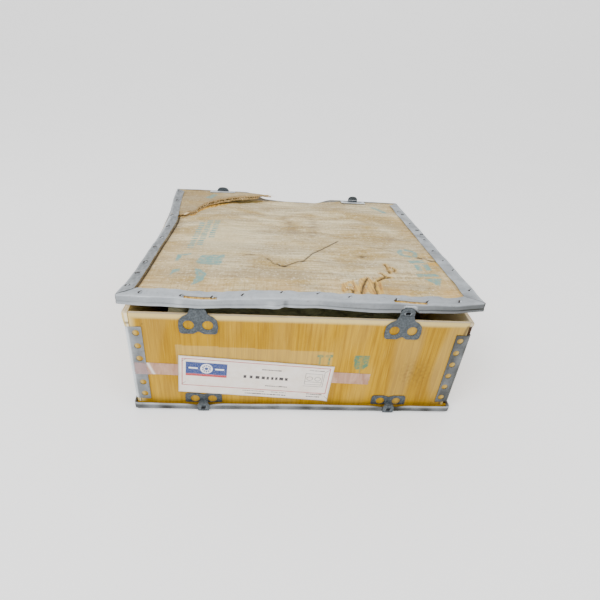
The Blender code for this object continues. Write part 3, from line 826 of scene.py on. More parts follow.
def base_rims():
    """Steel L section round the base: the upright lip from its top down, then the flange under."""
    profile = np.array(
        [
            (1.0, 13.5), (0.3, 13.45), (0, 12.9), (-0.1, 9), (0.15, 7.6), (0, 6), (0, 4.2), (0.3, 3),
            (1.2, 2.5), (8, 2.5), (15, 2.5), (22, 2.5),
        ]
    ) * MM
    for side, name in enumerate(("front", "right", "back", "left")):
        along, depth = np.meshgrid(stations(0, 2 * BASE, 0.004), profile[:, 0], indexing="ij")
        z = np.broadcast_to(profile[:, 1], along.shape).copy()
        along, pull = mitred(along, np.abs(depth), 2 * BASE, 0.03, 0.005)
        x = along - BASE
        depth = np.abs(depth) * np.sign(depth + 1e-9) + pull
        depth = depth + 0.0003 * waves(x, z, 0.11, 30 + side) * (depth < 0.002)
        if name in ("front", "back"):
            facing = 1 if name == "front" else -1
            for at in LOWER_X.values():
                bulge = fade(np.abs(x - at * facing) / 0.034)
                high = np.clip((z - 0.0025) / 0.011, 0, 1)
                z = z - bulge * (0.0006 + 0.0022 * high)
                depth = depth - 0.0003 * bulge * (depth < 0.002)
        z = z + 0.0004 * waves(x, x * 0, 0.09, 40 + side) * (z > 0.005)
        c, s = math.cos(side * math.pi / 2), math.sin(side * math.pi / 2)
        y = -BASE + depth
        outer = np.stack([x * c - y * s, x * s + y * c, z], -1)
        # painted highlight along the lip's rounded top; the lower part darker, over a grey grime
        painted_highlight = fade(np.abs(z - 0.0130) / 0.0016) * 0.6
        dirt = 0.40 + 0.52 * fade((z - 0.0105) / 0.002) + 0.10 * waves(x, z, 0.03, 47)
        paint = {"painted_highlight": painted_highlight, "dirt": dirt}
        rim_sheet(name, outer, paint, part="base", body="crate", sharp=38, flip=True)


base_rims()

# ---- lid ----
TWIST = (-0.0020, 0.0025)  # height of the front left and front right corners
FRONT_FOLD = (  # in mm: height of the front fold over a flat lid's
    (-240, -3), (-222, -3.5), (-204, -3.8), (-186, -3.7), (-165, -3.8), (-152, -5.6), (-140, -6.1),
    (-125, -6.1), (-114, -5.6), (-106, -4.5), (-87, -3.2), (-68, -1.8), (-49, -0.7), (-30, -0.1),
    (0, 0.1), (28, -0.2), (42, -1.2), (55, -1.4), (68, -1.2), (95, -0.5), (115, -0.6), (140, -1.9),
    (156, -2.4), (168, -1.5), (176, -1.3), (197, -2.3), (206, -1.4), (215, 0.2), (228, 2.2), (240, 3.2),
)
FRONT_END = (  # and of the front skirt's lower edge
    (-240, 0.2), (-224, -1), (-206, -1.4), (-188, -1.6), (-173, -1.9), (-158, -2.5), (-141, -3.1),
    (-125, -2.2), (-106, -1.3), (-87, -0.6), (-68, 0.3), (-48, 1.1), (-29, 2.3), (-9, 2.6), (10, 3),
    (30, 2.4), (50, 1.1), (70, -0.3), (91, -0.8), (111, -0.3), (152, 0.9), (180, 1.2), (201, 1.9),
    (219, 3.9), (236, 6.1), (240, 6.3),
)
# in mm: rise of the back edge, how far the left rim is pushed in and sags, the torn edge of the large
# piece, and how far the broken piece is lifted
BACK_RISE = ((-240, 5.2), (-180, 5.4), (-120, 4.6), (-90, 3.6), (-60, 2.0), (-30, 0), (240, 0))
LEFT_PUSH = (
    (0, 0), (60, 2), (110, 6), (150, 10.5), (176, 13), (205, 12.5), (257, 10.5), (300, 8), (359, 6),
    (403, 5), (440, 2.4), (470, -1.8), (480, -3),
)
LEFT_SAG = ((0, 0), (100, -1.5), (163, -4), (200, -5), (276, -4.5), (359, -3), (430, -1), (480, 0))
TORN = (
    (-239, 150), (-208, 146), (-201, 134), (-193.6, 138), (-187, 130), (-184, 114), (-178, 101),
    (-172, 93), (-164, 79), (-153, 73), (-144, 66), (-133, 60), (-121, 53), (-100, 50), (-69, 33),
    (-56, 20), (-42, 15), (10, 13.5), (55, 13.5), (80, 8), (110, 0.6), (239, 0.6),
)
LIFTED = (
    (-239, 0), (-225, 0), (-172, 2.0), (-124, 3.8), (-101, 6.5), (-69, 6), (-50, 4), (-30, 3.5), (-8, 0),
)


def lid_at(x, v, z):
    """World points for lid coordinates: v runs forward from the back edge."""
    x, v, z = np.broadcast_arrays(x, v, z)
    return np.stack([x, LID / 2 - v * COS + z * SIN, LID_LOW + v * SIN + z * COS], -1)


def lid_rise(x, v, back=1.0):
    """How much higher the battered lid stands than a flat one."""
    corners = TWIST[0] + (TWIST[1] - TWIST[0]) * (x / LID + 0.5)
    front = (table(x, FRONT_FOLD) - corners) * fade((LID - v) / 0.098)
    left = table(v, LEFT_SAG) * fade((x + LID / 2) / 0.11)
    return v / LID * corners + front + left + back * table(x, BACK_RISE) * fade(v / 0.13)


def corner_shift(x):
    """How far the front corners are pulled apart."""
    return 0.0012 * fade((LID / 2 - x) / 0.06) - 0.0030 * fade((x + LID / 2) / 0.05)


def skirt_end(x, v):
    """How far a side skirt's lower edge follows the front one near the corner."""
    side = np.sign(x) * LID / 2
    return (table(side, FRONT_END) - table(side, FRONT_FOLD)) * fade((LID - v) / 0.045)


def left_shift(x, v):
    """How far the plywood follows the pushed-in left rim."""
    return table(v, LEFT_PUSH) * fade((x + LID / 2) / 0.07)


def torn_at(x, seed=1, size=0.0015):
    """Where the large piece's torn back edge lies."""
    edge = table(x, TORN, 0.001)
    rough = jagged(x, 0.0026, seed) + 0.5 * jagged(x, 0.007, seed + 50)
    return np.maximum(edge + size * rough * fade((x - 0.095) / 0.02), 0.0006)


def panel_rise(x, v):
    """The large piece's height over a flat lid's, sagging along its torn edge."""
    past = np.maximum(v - table(x, TORN, 0.004), 0)
    return lid_rise(x, v, 0.35) - table(x, PANEL_SAG) * np.exp(-past / 0.10)


STENCILS = (
    ((-156.7, 367), (-150.9, 341.8), (-115.5, 337.4), (-120.2, 377.5), (-151.7, 375.4)),
    ((-155.7, 388), (-146, 396), (-136.8, 407), (-140.2, 426), (-154.7, 442.5), (-150, 415)),
    ((-188, 337), (-167, 334), (-167, 339), (-181, 342), (-182, 362), (-188, 363)),
    ((-187, 396), (-176, 392), (-175, 402), (-182, 406), (-187, 418)),
    ((170, 34.7), (184, 36), (200, 76), (190, 78.4), (178, 52)),
    ((172, 334), (198, 330), (199, 341), (173, 345)),
    ((176, 352), (186, 350), (187, 372), (177, 374)),
    ((191, 349), (201, 347), (202, 369), (192, 371)),
    ((170, 386), (204, 382), (205, 392), (171, 396)),
    ((178, 402), (206, 399), (196, 424)),
)
STENCIL_COLUMNS = ((-169, (188, 312, 11)), (-156, (176, 300, 9)), (-143, (176, 262, 10)))
CRACKS = (
    ((-51.9, 345.5), (-42, 361.7), (-31.9, 368.2), (-26.2, 371.3), (-5.4, 353.9), (4.1, 350.9),
     (21.7, 318.2), (41.2, 293.8), (70.8, 256.7)),
    ((-83, 331), (-71, 330)),
    ((194, 319), (208, 326), (211.5, 332), (231.4, 332)),
    ((130.7, 353), (131, 371), (130.6, 386)),
    ((93, 403.5), (84, 425), (76, 451)),
    ((100, 420), (98.5, 446), (98.4, 459)),
    ((106.5, 413), (116, 405), (127, 401)),
    ((116, 388), (122, 396), (118, 404)),
    ((60, 437), (66, 444), (64, 452)),
    ((137, 365), (142, 372), (139, 380)),
)
HAIR_CRACKS = (
    ((116, 281), (137, 285.5), (162, 300.6)), ((-190, 420), (-176, 421)), ((-96, 250), (-70, 249)),
)
KNOTS = (  # centre and half-sizes in mm, and darkness
    ((193.8, 320.3, 5.5, 4.4), 1), ((-26.2, 371.3, 8, 5.6), 1), ((2, 352.5, 8.5, 4.4), 1),
    ((100.6, 322.6, 7, 5), 0.95),
)
STAINS = (
    ((178, 132, 26, 22), 0.3), ((171, 236, 24, 26), 0.3), ((166, 211, 12, 26), 0.3),
    ((96, 440, 70, 24), 0.3), ((-60, 455, 60, 14), 0.25),
)


def stencil(x, v):
    """Worn patches of ink, upright columns of marks, and a ring above the right side's bars."""
    ink = np.zeros(x.shape, bool)
    for polygon in STENCILS:
        ink |= inside(x, v, polygon)
    for column, (low, high, pitch) in STENCIL_COLUMNS:
        lean = (v / MM - low) * 0.05
        phase = ((v / MM - low) % pitch) / pitch
        near_it = np.abs(x / MM - column + lean - 3) < 4.6
        ink |= near_it & (v / MM > low) & (v / MM < high) & (phase < 0.62)
    ring = np.hypot((x - 0.181) / 0.9, v - 0.302)
    ink |= (ring < 0.019) & (ring > 0.010) & (np.abs(x - 0.181 - 0.3 * (v - 0.302)) > 0.002)
    return ink * 1.0


def lid_paint(x, v):
    """Stencils, knots, cracks, slits, stains, painted shade and zones of the lid's plywood."""
    wander = 0.001 * waves(x, v, 0.01, 4)
    crack_and_shadow = np.zeros(x.shape)
    for n, line in enumerate(CRACKS):
        crack_and_shadow = np.maximum(crack_and_shadow, near(x + wander, v - wander, line, 0.0030 if n else 0.0026))
    for line in HAIR_CRACKS:
        crack_and_shadow = np.maximum(crack_and_shadow, 0.55 * near(x, v, line, 0.0018))
    # painted shadow: a dark line on the plywood under the lifted inner edge of the left rim
    crack_and_shadow = np.maximum(crack_and_shadow, near(x, v, ((-222, 150), (-222, 462)), 0.0034))
    for knot, darkness in KNOTS:
        crack_and_shadow = np.maximum(crack_and_shadow, darkness * spot(x, v, *knot))
    halo = 0.7 * spot(x, v, 100.6, 322.6, 20, 14) + 0.4 * spot(x, v, -26, 371, 13, 9)
    # halos round two knots, then painted shade on the plywood beside the crushed left rim
    stain_and_shade = halo + 0.7 * fade((x + 0.216) / 0.016) * fade(np.abs(v - 0.205) / 0.075)
    stain_and_shade = stain_and_shade + 0.55 * near(x, v, ((-15, 140), (-6, 186), (-3.5, 223)), 0.016)
    stain_and_shade = stain_and_shade + 0.5 * near(x, v, ((34, 136), (38, 180), (27.5, 233)), 0.017)
    stain_and_shade = stain_and_shade + sum(darkness * spot(x, v, *place) for place, darkness in STAINS)
    # darker in a band along the large piece's torn edge
    stain_and_shade = stain_and_shade + 0.3 * fade((v - torn_at(x)) / 0.02) * fade((x - 0.05) / 0.06)
    stain_and_shade = stain_and_shade * (0.75 + 0.35 * waves(x, v, 0.012, 11))
    zone = inside(x, v, ((47, 430), (60, 418), (84, 405), (111, 412), (108, 460), (52, 462)))
    torn = 0.75 * zone * (waves(x, v * 0.25, 0.008, 12) > -0.35)
    for line in CRACKS[3:]:
        torn = np.maximum(torn, 0.85 * near(x + wander, v, line, 0.0075))
    torn = np.maximum(torn, 0.75 * inside(x, v, ((203, 338), (226, 334), (219, 352), (204, 350))))
    depth = table(x, ((-239, 2), (-200, 4), (-190, 14), (-150, 19), (-138, 10), (-110, 3), (239, 2)))
    edge = fade((v - torn_at(x) - depth * (0.8 + 0.25 * jagged(x, 0.004, 9))) / 0.002)
    torn = np.maximum(torn, edge * fade((x + 0.06) / 0.03))
    pale = 0.8 * fade(np.hypot((x + 0.12) / 0.062, (v - 0.252) / 0.085) - 0.3)
    warm = 0.6 * fade((LID - v) / 0.10) + 0.35 * fade((LID / 2 - x) / 0.07)
    warm = (warm + 0.3 * spot(x, v, -200, 330, 50, 160)) * (0.7 + 0.5 * waves(x, v, 0.06, 17))
    zones = {"crack_and_shadow": crack_and_shadow, "stain_and_shade": stain_and_shade, "torn": torn, "pale": pale, "warm": warm}
    return {"ink": stencil(x, v), **{key: np.clip(zone, 0, 1) for key, zone in zones.items()}}


NOTCH_HALF, NOTCH = 0.023, 0.0092
DEEP_NOTCH = 0.0200  # of the broken piece, room for the folded back tongue
SPACING = 0.0019  # of the points in the lid's plywood
PLY_HALF = LID / 2 - 0.0013


def lid_panel():
    """The large piece of the lid's plywood, up to its torn back edge."""
    cuts = [x + k * NOTCH_HALF for x in UPPER_X.values() for k in (-1, 1)]
    xs = stations(-PLY_HALF, PLY_HALF, SPACING, cuts)
    rows = stations(0, LID - 0.0013, SPACING, (NOTCH, LID - NOTCH))
    x, v0 = np.meshgrid(xs, rows, indexing="ij")
    v = v0 + torn_at(x) * fade(v0 / 0.30)
    rise = panel_rise(x, v)
    paint = lid_paint(x, v)
    # relief: hollow cracks and slits, layers gone where the top ply is torn off
    z = PLY + rise - 0.0012 * paint["crack_and_shadow"] - 0.0007 * (paint["torn"] > 0.5)
    middle = 1 - fade((np.minimum(LID / 2 - np.abs(x), LID - v) - 0.02) / 0.03)
    z = z - 0.0003 + 0.0005 * middle * waves(x, v, 0.07, 21) + 0.00012 * waves(x * 5, v, 0.02, 22)
    for line in CRACKS[3:]:
        z = z + 0.0009 * (near(x + 0.003, v, line, 0.005) - near(x, v, line, 0.0025)).clip(0)
    shifted = x + left_shift(x, v)
    outer = lid_at(shifted, v, z)
    keep = np.ones((len(xs) - 1, len(rows) - 1), bool)
    mx, mv = middles(xs)[:, None], middles(rows)[None]
    for at in UPPER_X.values():
        keep &= ~((np.abs(mx - at) < NOTCH_HALF) & (mv > LID - NOTCH))
    keep &= ~((np.abs(mx - UPPER_X["right"]) < NOTCH_HALF) & (mv < NOTCH - 0.0006))
    slab(
        "lid_plywood", outer, PLY - 0.0003, lid_finish, "lid", "weathered_plywood", ("lid_panel",),
        keep, paint, flip=True,
    )


lid_panel()


def slot_wood():
    """The thin remains of plywood under the front slots."""
    for side, middle in UPPER_X.items():
        across, deep = np.linspace(-0.0225, 0.0225, 16), np.linspace(0.4698, 0.4784, 5)
        x, v = np.meshgrid(across + middle, deep, indexing="ij")
        z = 0.0056 + lid_rise(x, v) + 0.0002 * waves(x, v, 0.01, 48)
        paint = {"torn": 0.75 + 0.2 * waves(x, v, 0.008, 49), "depth": 0 * x}
        paint["crack_and_shadow"] = 0.8 * fade((x - x.min()) / 0.004)
        slab(
            f"lid_slot_wood_{side}", lid_at(x, v, z), 0.0012, lid_finish, "lid", "weathered_plywood",
            paint=paint, flip=True,
        )


slot_wood()


def lid_fragment():
    """The broken-off back left piece: three delaminated layers with their own torn edges."""
    cuts = [UPPER_X["left"] + k * NOTCH_HALF for k in (-1, 1)]
    t = np.concatenate([np.linspace(0, 0.2, 6), np.linspace(0.2, 1, 34)[1:]])  # 0.2 is the notch's end
    # each layer's tip, how much shorter it is torn, and how far its edge drops
    layers = ((-0.046, 0, 0.0), (-0.040, 0.0035, -0.0004), (-0.060, -0.002, -0.0013))
    for layer, (tip, further, drop) in enumerate(layers):
        xs = stations(-PLY_HALF, tip, SPACING, cuts)
        x, share = np.meshgrid(xs, t, indexing="ij")
        reach = torn_at(x, 7 + layer, 0.0019) - 0.0012 - further
        reach = np.maximum(reach * fade((x - tip + 0.01) / 0.01 * 0.9), 0.0016)
        notch = np.minimum(DEEP_NOTCH, reach * 0.5)
        within = 0.0006 + (notch - 0.0006) * share / 0.2
        v = np.where(share <= 0.2, within, notch + (reach - notch) * (share - 0.2) / 0.8)
        toward = np.clip(v / np.maximum(reach, 1e-6), 0, 1)
        lift = table(x, LIFTED) * np.clip(0.35 + v / 0.03, 0, 1) + 0.0015 * toward**3
        spread = drop * toward**4 * (1 + 0.5 * jagged(x, 0.01, 60 + layer))
        z = PLY - layer * 0.0019 + lid_rise(x, v) + lift + spread
        z = z + 0.0003 * waves(x, v, 0.05, 23)
        outer = lid_at(x + left_shift(x, v), v, z)
        keep = ~((np.abs(middles(xs)[:, None] - UPPER_X["left"]) < NOTCH_HALF) & (middles(t)[None] < 0.2))
        torn = fade((reach - v) / (0.003 + 0.002 * jagged(x, 0.005, 70))) + (layer > 0)
        stencilled = inside(x, v, ((-176, 52), (-160, 30), (-150, 36), (-164, 60))) * 0.8
        # the broken dark line at each layer's torn edge is painted shade under the lifted edge
        paint = {
            "torn": np.clip(torn, 0, 1), "ink": stencilled,
            "stain_and_shade": 0.5 * fade((reach - v) / 0.012) * (layer == 0) * fade((x + 0.10) / 0.05) + 0.1,
            "crack_and_shadow": 0.6 * fade((reach - v) / 0.0012) * (jagged(x, 0.004, 77) > 0.1),
        }
        slab(
            f"lid_fragment_layer_{layer + 1}", outer, 0.0017, fragment_finish, "lid", "weathered_plywood",
            keep=keep, paint=paint, flip=True,
        )


lid_fragment()


def splinter_parts(points, widths, thick=0.0006):
    """A thin sliver through points in the lid's world place, diamond in section."""
    points = np.array(points, float)
    along = np.gradient(points, axis=0)
    along /= np.linalg.norm(along, axis=1, keepdims=True)
    side = np.cross(along, (0, 0, 1))
    side /= np.maximum(np.linalg.norm(side, axis=1, keepdims=True), 1e-9)
    up = np.cross(side, along)
    w, h = np.array(widths)[:, None] / 2, np.minimum(np.array(widths), thick)[:, None] / 2
    rings = np.stack([points + side * w, points + up * h, points - side * w, points - up * h], 1)
    return rings.reshape(-1, 3), tube_faces(len(points), 4)


def splinters():
    """Slivers along the torn edges and the cracks."""
    parts = []

    # from and to places in mm: x, distance from the back edge, height over the flat plywood
    def sliver(x0, v0, h0, x1, v1, h1, width, bend=0.0):
        t = np.linspace(0, 1, 9)
        x, v = (x0 + (x1 - x0) * t) * MM, (v0 + (v1 - v0) * t) * MM
        h = (h0 + (h1 - h0) * t + bend * np.sin(t * math.pi)) * MM
        base = lid_rise(x, v) + PLY
        at = lid_at(x + left_shift(x, v), v, base + h)
        taper = np.clip(np.minimum(t * 5, (1 - t) * 2.2), 0.12, 1) * width * MM
        parts.append(splinter_parts(at, taper))

    sliver(-211, 152, 2.2, -197, 139, 3.0, 5.2, 0.4)
    sliver(-206, 149, 1.2, -199, 140, 2.0, 2.4, 0.4)
    sliver(-52, 17.5, 3.5, -29, 8, 3.0, 0.8, 1.2)
    sliver(-60, 14, 3, -38, 5, 3.4, 1.6, 0.5)
    sliver(-101, 44, 6.5, -99.5, 54, -1.0, 1.0, 0.6)
    own = np.random.default_rng(12)
    for x in np.linspace(-196, -60, 46):
        edge = float(torn_at(np.array([x * MM]))[0]) / MM
        lean = own.uniform(-5, 5)
        lift = float(table(np.array([x * MM]), LIFTED)[0]) / MM
        low = own.uniform(1.5, 6)
        sliver(x, edge - low, lift + own.uniform(-1.4, 0.4), x + lean, edge + own.uniform(0, 3.5),
               lift - own.uniform(0.4, 3.0), own.uniform(0.7, 2.0), own.uniform(-0.4, 0.6))
    for x, v, n in ((97, 405, 9), (131, 368, 7), (60, 440, 5)):
        for _ in range(n):
            a, b = own.uniform(-9, 9), own.uniform(-12, 12)
            sliver(x + a, v + b, 0.2, x + a + own.uniform(-2, 2), v + b + own.uniform(7, 13),
                   own.uniform(0.6, 1.8), own.uniform(0.8, 1.6))
    points, faces = joined(parts)
    outward(piece("lid_splinters", points, faces, splinter_finish, "lid", "weathered_plywood"))


splinters()

FLANGE_IN = 0.0215
SEAM = (0.0006, 0.0012, LID - 0.0012, LID - 0.0006)


RIM_PROFILE = (  # depth in from the outer face and height, flange's inner edge to the skirt's end
    (21.5, 7.3), (18, 7.3), (14.5, 7.3), (11, 7.3), (8.2, 7.3), (5.2, 7.3), (2.2, 7.3), (1.2, 7.1),
    (0.4, 6.5), (0.05, 5.6), (0, 4), (0, 2), (0, 0), (0.1, -1.8), (0.45, -3.0), (0.15, -3.7),
    (-0.55, -4.4), (-0.75, -6), (-0.7, -7.8), (-0.3, -8.5),
)


FRONT_BULGE = (  # places in mm, and thousandths of 3 mm
    (-70, 0), (-58, 300), (-44, 1000), (-36, 900), (-33, 0), (-31, -500), (-26, -350), (-18, 0),
)


def rim_grid(along, profile, slack=0.0, gap=0.0003):
    """A lid rim's grid: place along the side, depth in, height, the corners' pull, the share of the
    way down, and 1 at the mitred ends."""
    d, z = np.array(profile, float).T * MM
    t, depth = np.meshgrid(along, d, indexing="ij")
    z = np.broadcast_to(z, t.shape).copy()
    at, pull = mitred(t, np.maximum(depth, 0) + slack, LID, gap=gap)
    down = np.clip((LID_TOP - z) / (LID_TOP - SKIRT_END), 0, 1)
    return at, depth, z, pull, down, 1.0 * (np.minimum(t, LID - t) < 0.0008)


def front_rim():
    slots = ((-0.1585, -0.1165), (0.115, 0.161))
    special = [LID / 2 + UPPER_X["right"] + k * e for k in (-1, 1) for e in (0.0124, 0.0104, 0.0084)]
    special += [LID / 2 + e for pair in slots for e in pair]
    t = stations(0, LID, 0.003, [*special, *SEAM])
    at, depth, z, pull, down, seam = rim_grid(t, RIM_PROFILE)
    x = at - LID / 2
    rise = lid_rise(x, LID - np.maximum(depth, 0)) * (1 - down) + table(x, FRONT_END) * down
    # the skirt is pushed in behind the right tongue, dented at two places and bulged at one
    aside = np.abs(x - UPPER_X["right"]) + 0.0038 * fade((down - 0.5) / 0.35)
    dent = 0.0082 * np.interp(aside, (0.0104, 0.0124), (1, 0))
    out = 0.003 * table(x, FRONT_BULGE, 0.001)
    skirt = (depth < 0.0013) * fade((0.0045 - (LID_TOP - z)) / 0.004)
    depth = depth + pull + dent * down**1.3 * (z < LID_TOP) - out * skirt * np.clip(down * 1.3, 0, 1)
    small = hump(x, 65, 7) * 0.0011 + hump(x, 98, 6) * 0.0009
    fold_near = fade(np.abs(down - 0.12) / 0.22)
    rise = rise - small * fold_near
    depth = depth + small * fold_near
    left_bulge = hump(x, -165, 9)
    depth = depth - 0.0009 * left_bulge * fade(np.abs(down - 0.45) / 0.5)
    wave = 0.0003 * waves(x, depth, 0.03, 31) + 0.00018 * waves(x, depth, 0.012, 32)
    inner = np.clip(depth / FLANGE_IN, 0, 1)
    rise = rise + wave * (0.4 + inner) + 0.0004 * inner**4 * (1 + waves(x, x * 0, 0.022, 33))
    depth = depth + 0.0002 * waves(x, z, 0.04, 34) * (depth < 0.002)
    x = x + corner_shift(x)
    v = LID - depth
    outer = lid_at(x, v, z + rise)
    mx = middles(t) - LID / 2
    keep = np.ones((len(t) - 1, len(RIM_PROFILE) - 1), bool)
    for a, b in slots:
        keep[(mx > a) & (mx < b), 4:7] = False
    # painted highlights: the bulges and the lower lip facing up, the fold at the flange, and the dent
    # behind the right tongue, made paler than its real shade
    painted_highlight = 0.9 * left_bulge * (down > 0.2) + 0.8 * hump(x, -47, 11) * (down > 0.25) * (down < 0.8)
    painted_highlight = painted_highlight + 0.8 * np.clip(dent / 0.002, 0, 1) * (down > 0.25)
    painted_highlight = painted_highlight + 0.45 * fade(np.abs(down - 0.84) / 0.14) + 0.35 * fade(down / 0.1) * (depth < 0.004)
    # painted shade: a dark line in the skirt's crease, the dent at x = -29 mm, the skirt darker than the
    # flange and darker towards the right, the mitred ends dark in their gaps, and none in the dent behind
    # the right tongue; also a dark mark beside the left slot and a little grime all over
    dirt = 0.3 * fade(np.abs(down - 0.69) / 0.06) + 0.35 * hump(x, -29, 5) * (down > 0.3)
    dirt = dirt + 0.8 * fade(np.abs(x + 0.1606) / 0.004) * fade(np.abs(depth - 0.005) / 0.005) * (z > 0.007)
    low_face = np.clip(down * 6 - 0.3, 0, 1)
    dirt = dirt + 0.08 + 0.26 * low_face + np.clip((x + 0.02) / 0.24, 0, 1) * (0.18 + 0.36 * low_face)
    dirt = np.maximum(dirt * (1 - 0.9 * np.clip(dent / 0.002, 0, 1) * (down > 0.25)), seam)
    rim_sheet("front", outer, {"painted_highlight": painted_highlight, "dirt": dirt}, keep, flip=True)


def right_rim():
    at, depth, z, pull, down, seam = rim_grid(stations(0, LID, 0.004, SEAM), RIM_PROFILE)
    inner = np.clip(depth / FLANGE_IN, 0, 1)
    x = LID / 2 - depth - pull - 0.0002 * waves(at, z, 0.05, 35) * (depth < 0.002)
    rise = lid_rise(x, at) + skirt_end(x, at) * down + 0.0004 * waves(at, depth, 0.05, 36) * (1 - down)
    rise = rise + 0.0008 * inner**3 * np.clip(waves(at, at * 0, 0.05, 37), 0, 2)
    outer = lid_at(x, at, z + rise)
    # painted highlight along the fold; the skirt painted darker than the flange as shade, over grey grime;
    # the mitred ends dark in their gaps
    painted_highlight = 0.4 * fade(down / 0.1) * (depth < 0.004)
    dirt = 0.30 + 0.2 * (down > 0.05) + 0.16 * waves(at, depth, 0.03, 44)
    rim_sheet("right", outer, {"painted_highlight": painted_highlight, "dirt": np.maximum(dirt, 0.5 * seam)})


def left_rim():
    """Crushed inward along its middle, with a torn kink where the plywood broke."""
    t = stations(0, LID, 0.003, [*SEAM, *np.arange(0.108, 0.182, 0.0011)])
    narrowed = [(d * 0.8 if d > 2 else d, h) for d, h in RIM_PROFILE]
    at, depth, z, pull, down, seam = rim_grid(t, narrowed, 0.0004, 0.0005)
    inner = np.clip(depth / FLANGE_IN, 0, 1)
    push = table(at, LEFT_PUSH, 0.003)
    kink = hump(at, 168, 9)
    flare = table(at, ((0, 0), (60, 0), (110, 1), (150, 2.7), (215, 2.7), (280, 1.6), (330, 0.6), (480, 0)))
    share = (1 - 0.22 * inner) * (1 - 0.72 * down)
    x = -LID / 2 + np.maximum(depth, 0) + pull + push * share - flare * down**2
    x = x + np.minimum(depth, 0) - 0.0016 * kink * (1 - inner) * (1 - down)
    sag = lid_rise(x, at) - table(at, LEFT_SAG) * (fade((x + LID / 2) / 0.11) - 1 + 0.4 * inner)
    lifted = table(at, ((0, 0), (150, 0.2), (172, 1.7), (400, 1.9), (462, 1.2), (480, 0)))
    rise = sag + skirt_end(x, at) * down + lifted * inner**1.5 + 0.0014 * kink * inner
    rise = rise + 0.0003 * waves(at, depth, 0.035, 38)
    tear = at - 0.171 + 2.6 * np.maximum(depth, 0)  # along the flange from a slanting tear
    step = 0.0015 * (1 - fade((tear + 0.001) / 0.002)) * (down < 0.3) * fade(tear / 0.06)
    outer = lid_at(x, at, z + rise + step)
    # painted highlights: the fold, a band beside the tear in the flange, and the flared skirt face at 18 to
    # 27 cm
    painted_highlight = 0.5 * fade(down / 0.1) * (depth < 0.004)
    painted_highlight = painted_highlight + 0.8 * fade(np.abs(tear - 0.006) / 0.006) * (1 - inner)
    painted_highlight = painted_highlight + 0.9 * (down > 0.1) * fade((np.abs(at - 0.225) - 0.045) / 0.03)
    # an olive-grey speckle, with painted shade: a dark line under the step at the tear, the skirt dark at
    # 36 to 40 cm in the gap under the flange, less where highlights are, and the mitred ends dark in their
    # gaps
    dirt = 0.55 + 0.10 * waves(at, depth, 0.006, 45) - 0.2 * fade((LID - at) / 0.06)
    dirt = dirt + fade(np.abs(tear) / 0.0016) * (down < 0.3)
    dirt = dirt + 0.8 * (down > 0.1) * fade((np.abs(at - 0.382) - 0.018) / 0.008)
    dirt = np.maximum(dirt * (1 - 0.7 * np.clip(painted_highlight, 0, 1)), seam)
    rim_sheet("left", outer, {"painted_highlight": painted_highlight, "dirt": dirt}, flip=True)


def back_rim():
    """Only a narrow lip with a tab round each slot; bent down where the plywood is missing."""
    profile = (
        (20.4, 7.7), (14, 7.8), (9.6, 7.7), (6.1, 7.5), (3.3, 7.3), (2.5, 7.3), (1.2, 7.15),
        (0.4, 6.6), (0, 5.6), (0, 2), (0, -1.5), (-0.5, -3.6), (-0.6, -7.6), (-0.2, -8.5),
    )
    special = []
    for x in UPPER_X.values():
        special += [LID / 2 + x + k for k in (-0.026, -0.020, 0.020, 0.026)]
    t = stations(0, LID, 0.004, special)
    at, depth, z, pull, down, _ = rim_grid(t, profile)
    x = at - LID / 2
    bent = table(x, ((-240, 0), (-88, 0), (-55, 9.6), (60, 9.6), (88, 0), (240, 0)), 0.004)
    lifted = table(x, LIFTED) * np.clip(0.35 + depth / 0.03, 0, 1) * (1 - down)
    rise = lid_rise(x, np.maximum(depth, 0)) + lifted
    rise = rise - bent * (1 - 0.75 * down) - 0.0004 * (x > 0.1) * (depth > 0.003)
    v = depth + pull + 0.0012 * (bent / 0.0096) * (1 - down) * -0.4
    outer = lid_at(x, v, z + rise + 0.0002 * waves(x, depth, 0.03, 39))
    mx = middles(t) - LID / 2
    keep = np.ones((len(t) - 1, len(profile) - 1), bool)
    tab = np.zeros(len(mx), bool)
    for at_x in UPPER_X.values():
        tab |= np.abs(mx - at_x) < 0.026
        keep[np.abs(mx - at_x) < 0.020, 2:4] = False
    keep[~tab, :5] = False
    # painted highlight on the flange's top
    rim_sheet("back", outer, {"painted_highlight": 0.5 * (down < 0.1) * np.ones_like(x)}, keep)


front_rim()
right_rim()
left_rim()
back_rim()

STAPLES = {
    "front": (
        (-213.7, 468.9), (-161.6, 472.7), (-123.6, 472.4), (-84.2, 468.9), (-33.7, 463.4), (15.2, 463.3),
        (57.2, 467.1), (119, 470.8), (162.5, 471.8), (207.1, 469.5),
    ),
    "right": (
        (227.2, 64.8), (230.2, 85.2), (230.6, 144.1), (231.9, 184.6), (234.5, 205.8), (231.4, 235.2),
        (229.5, 289.8), (231.6, 333.3), (233.9, 370.3), (232.8, 440.3),
    ),
    "left": (
        (-232.8, 452.3), (-229.3, 414.4), (-226.5, 375.9), (-224.7, 316.5), (-221.9, 274.2),
        (-221.2, 220.5), (-224.7, 158.6), (-227.8, 73.9), (-232.5, 17.3),
    ),
}


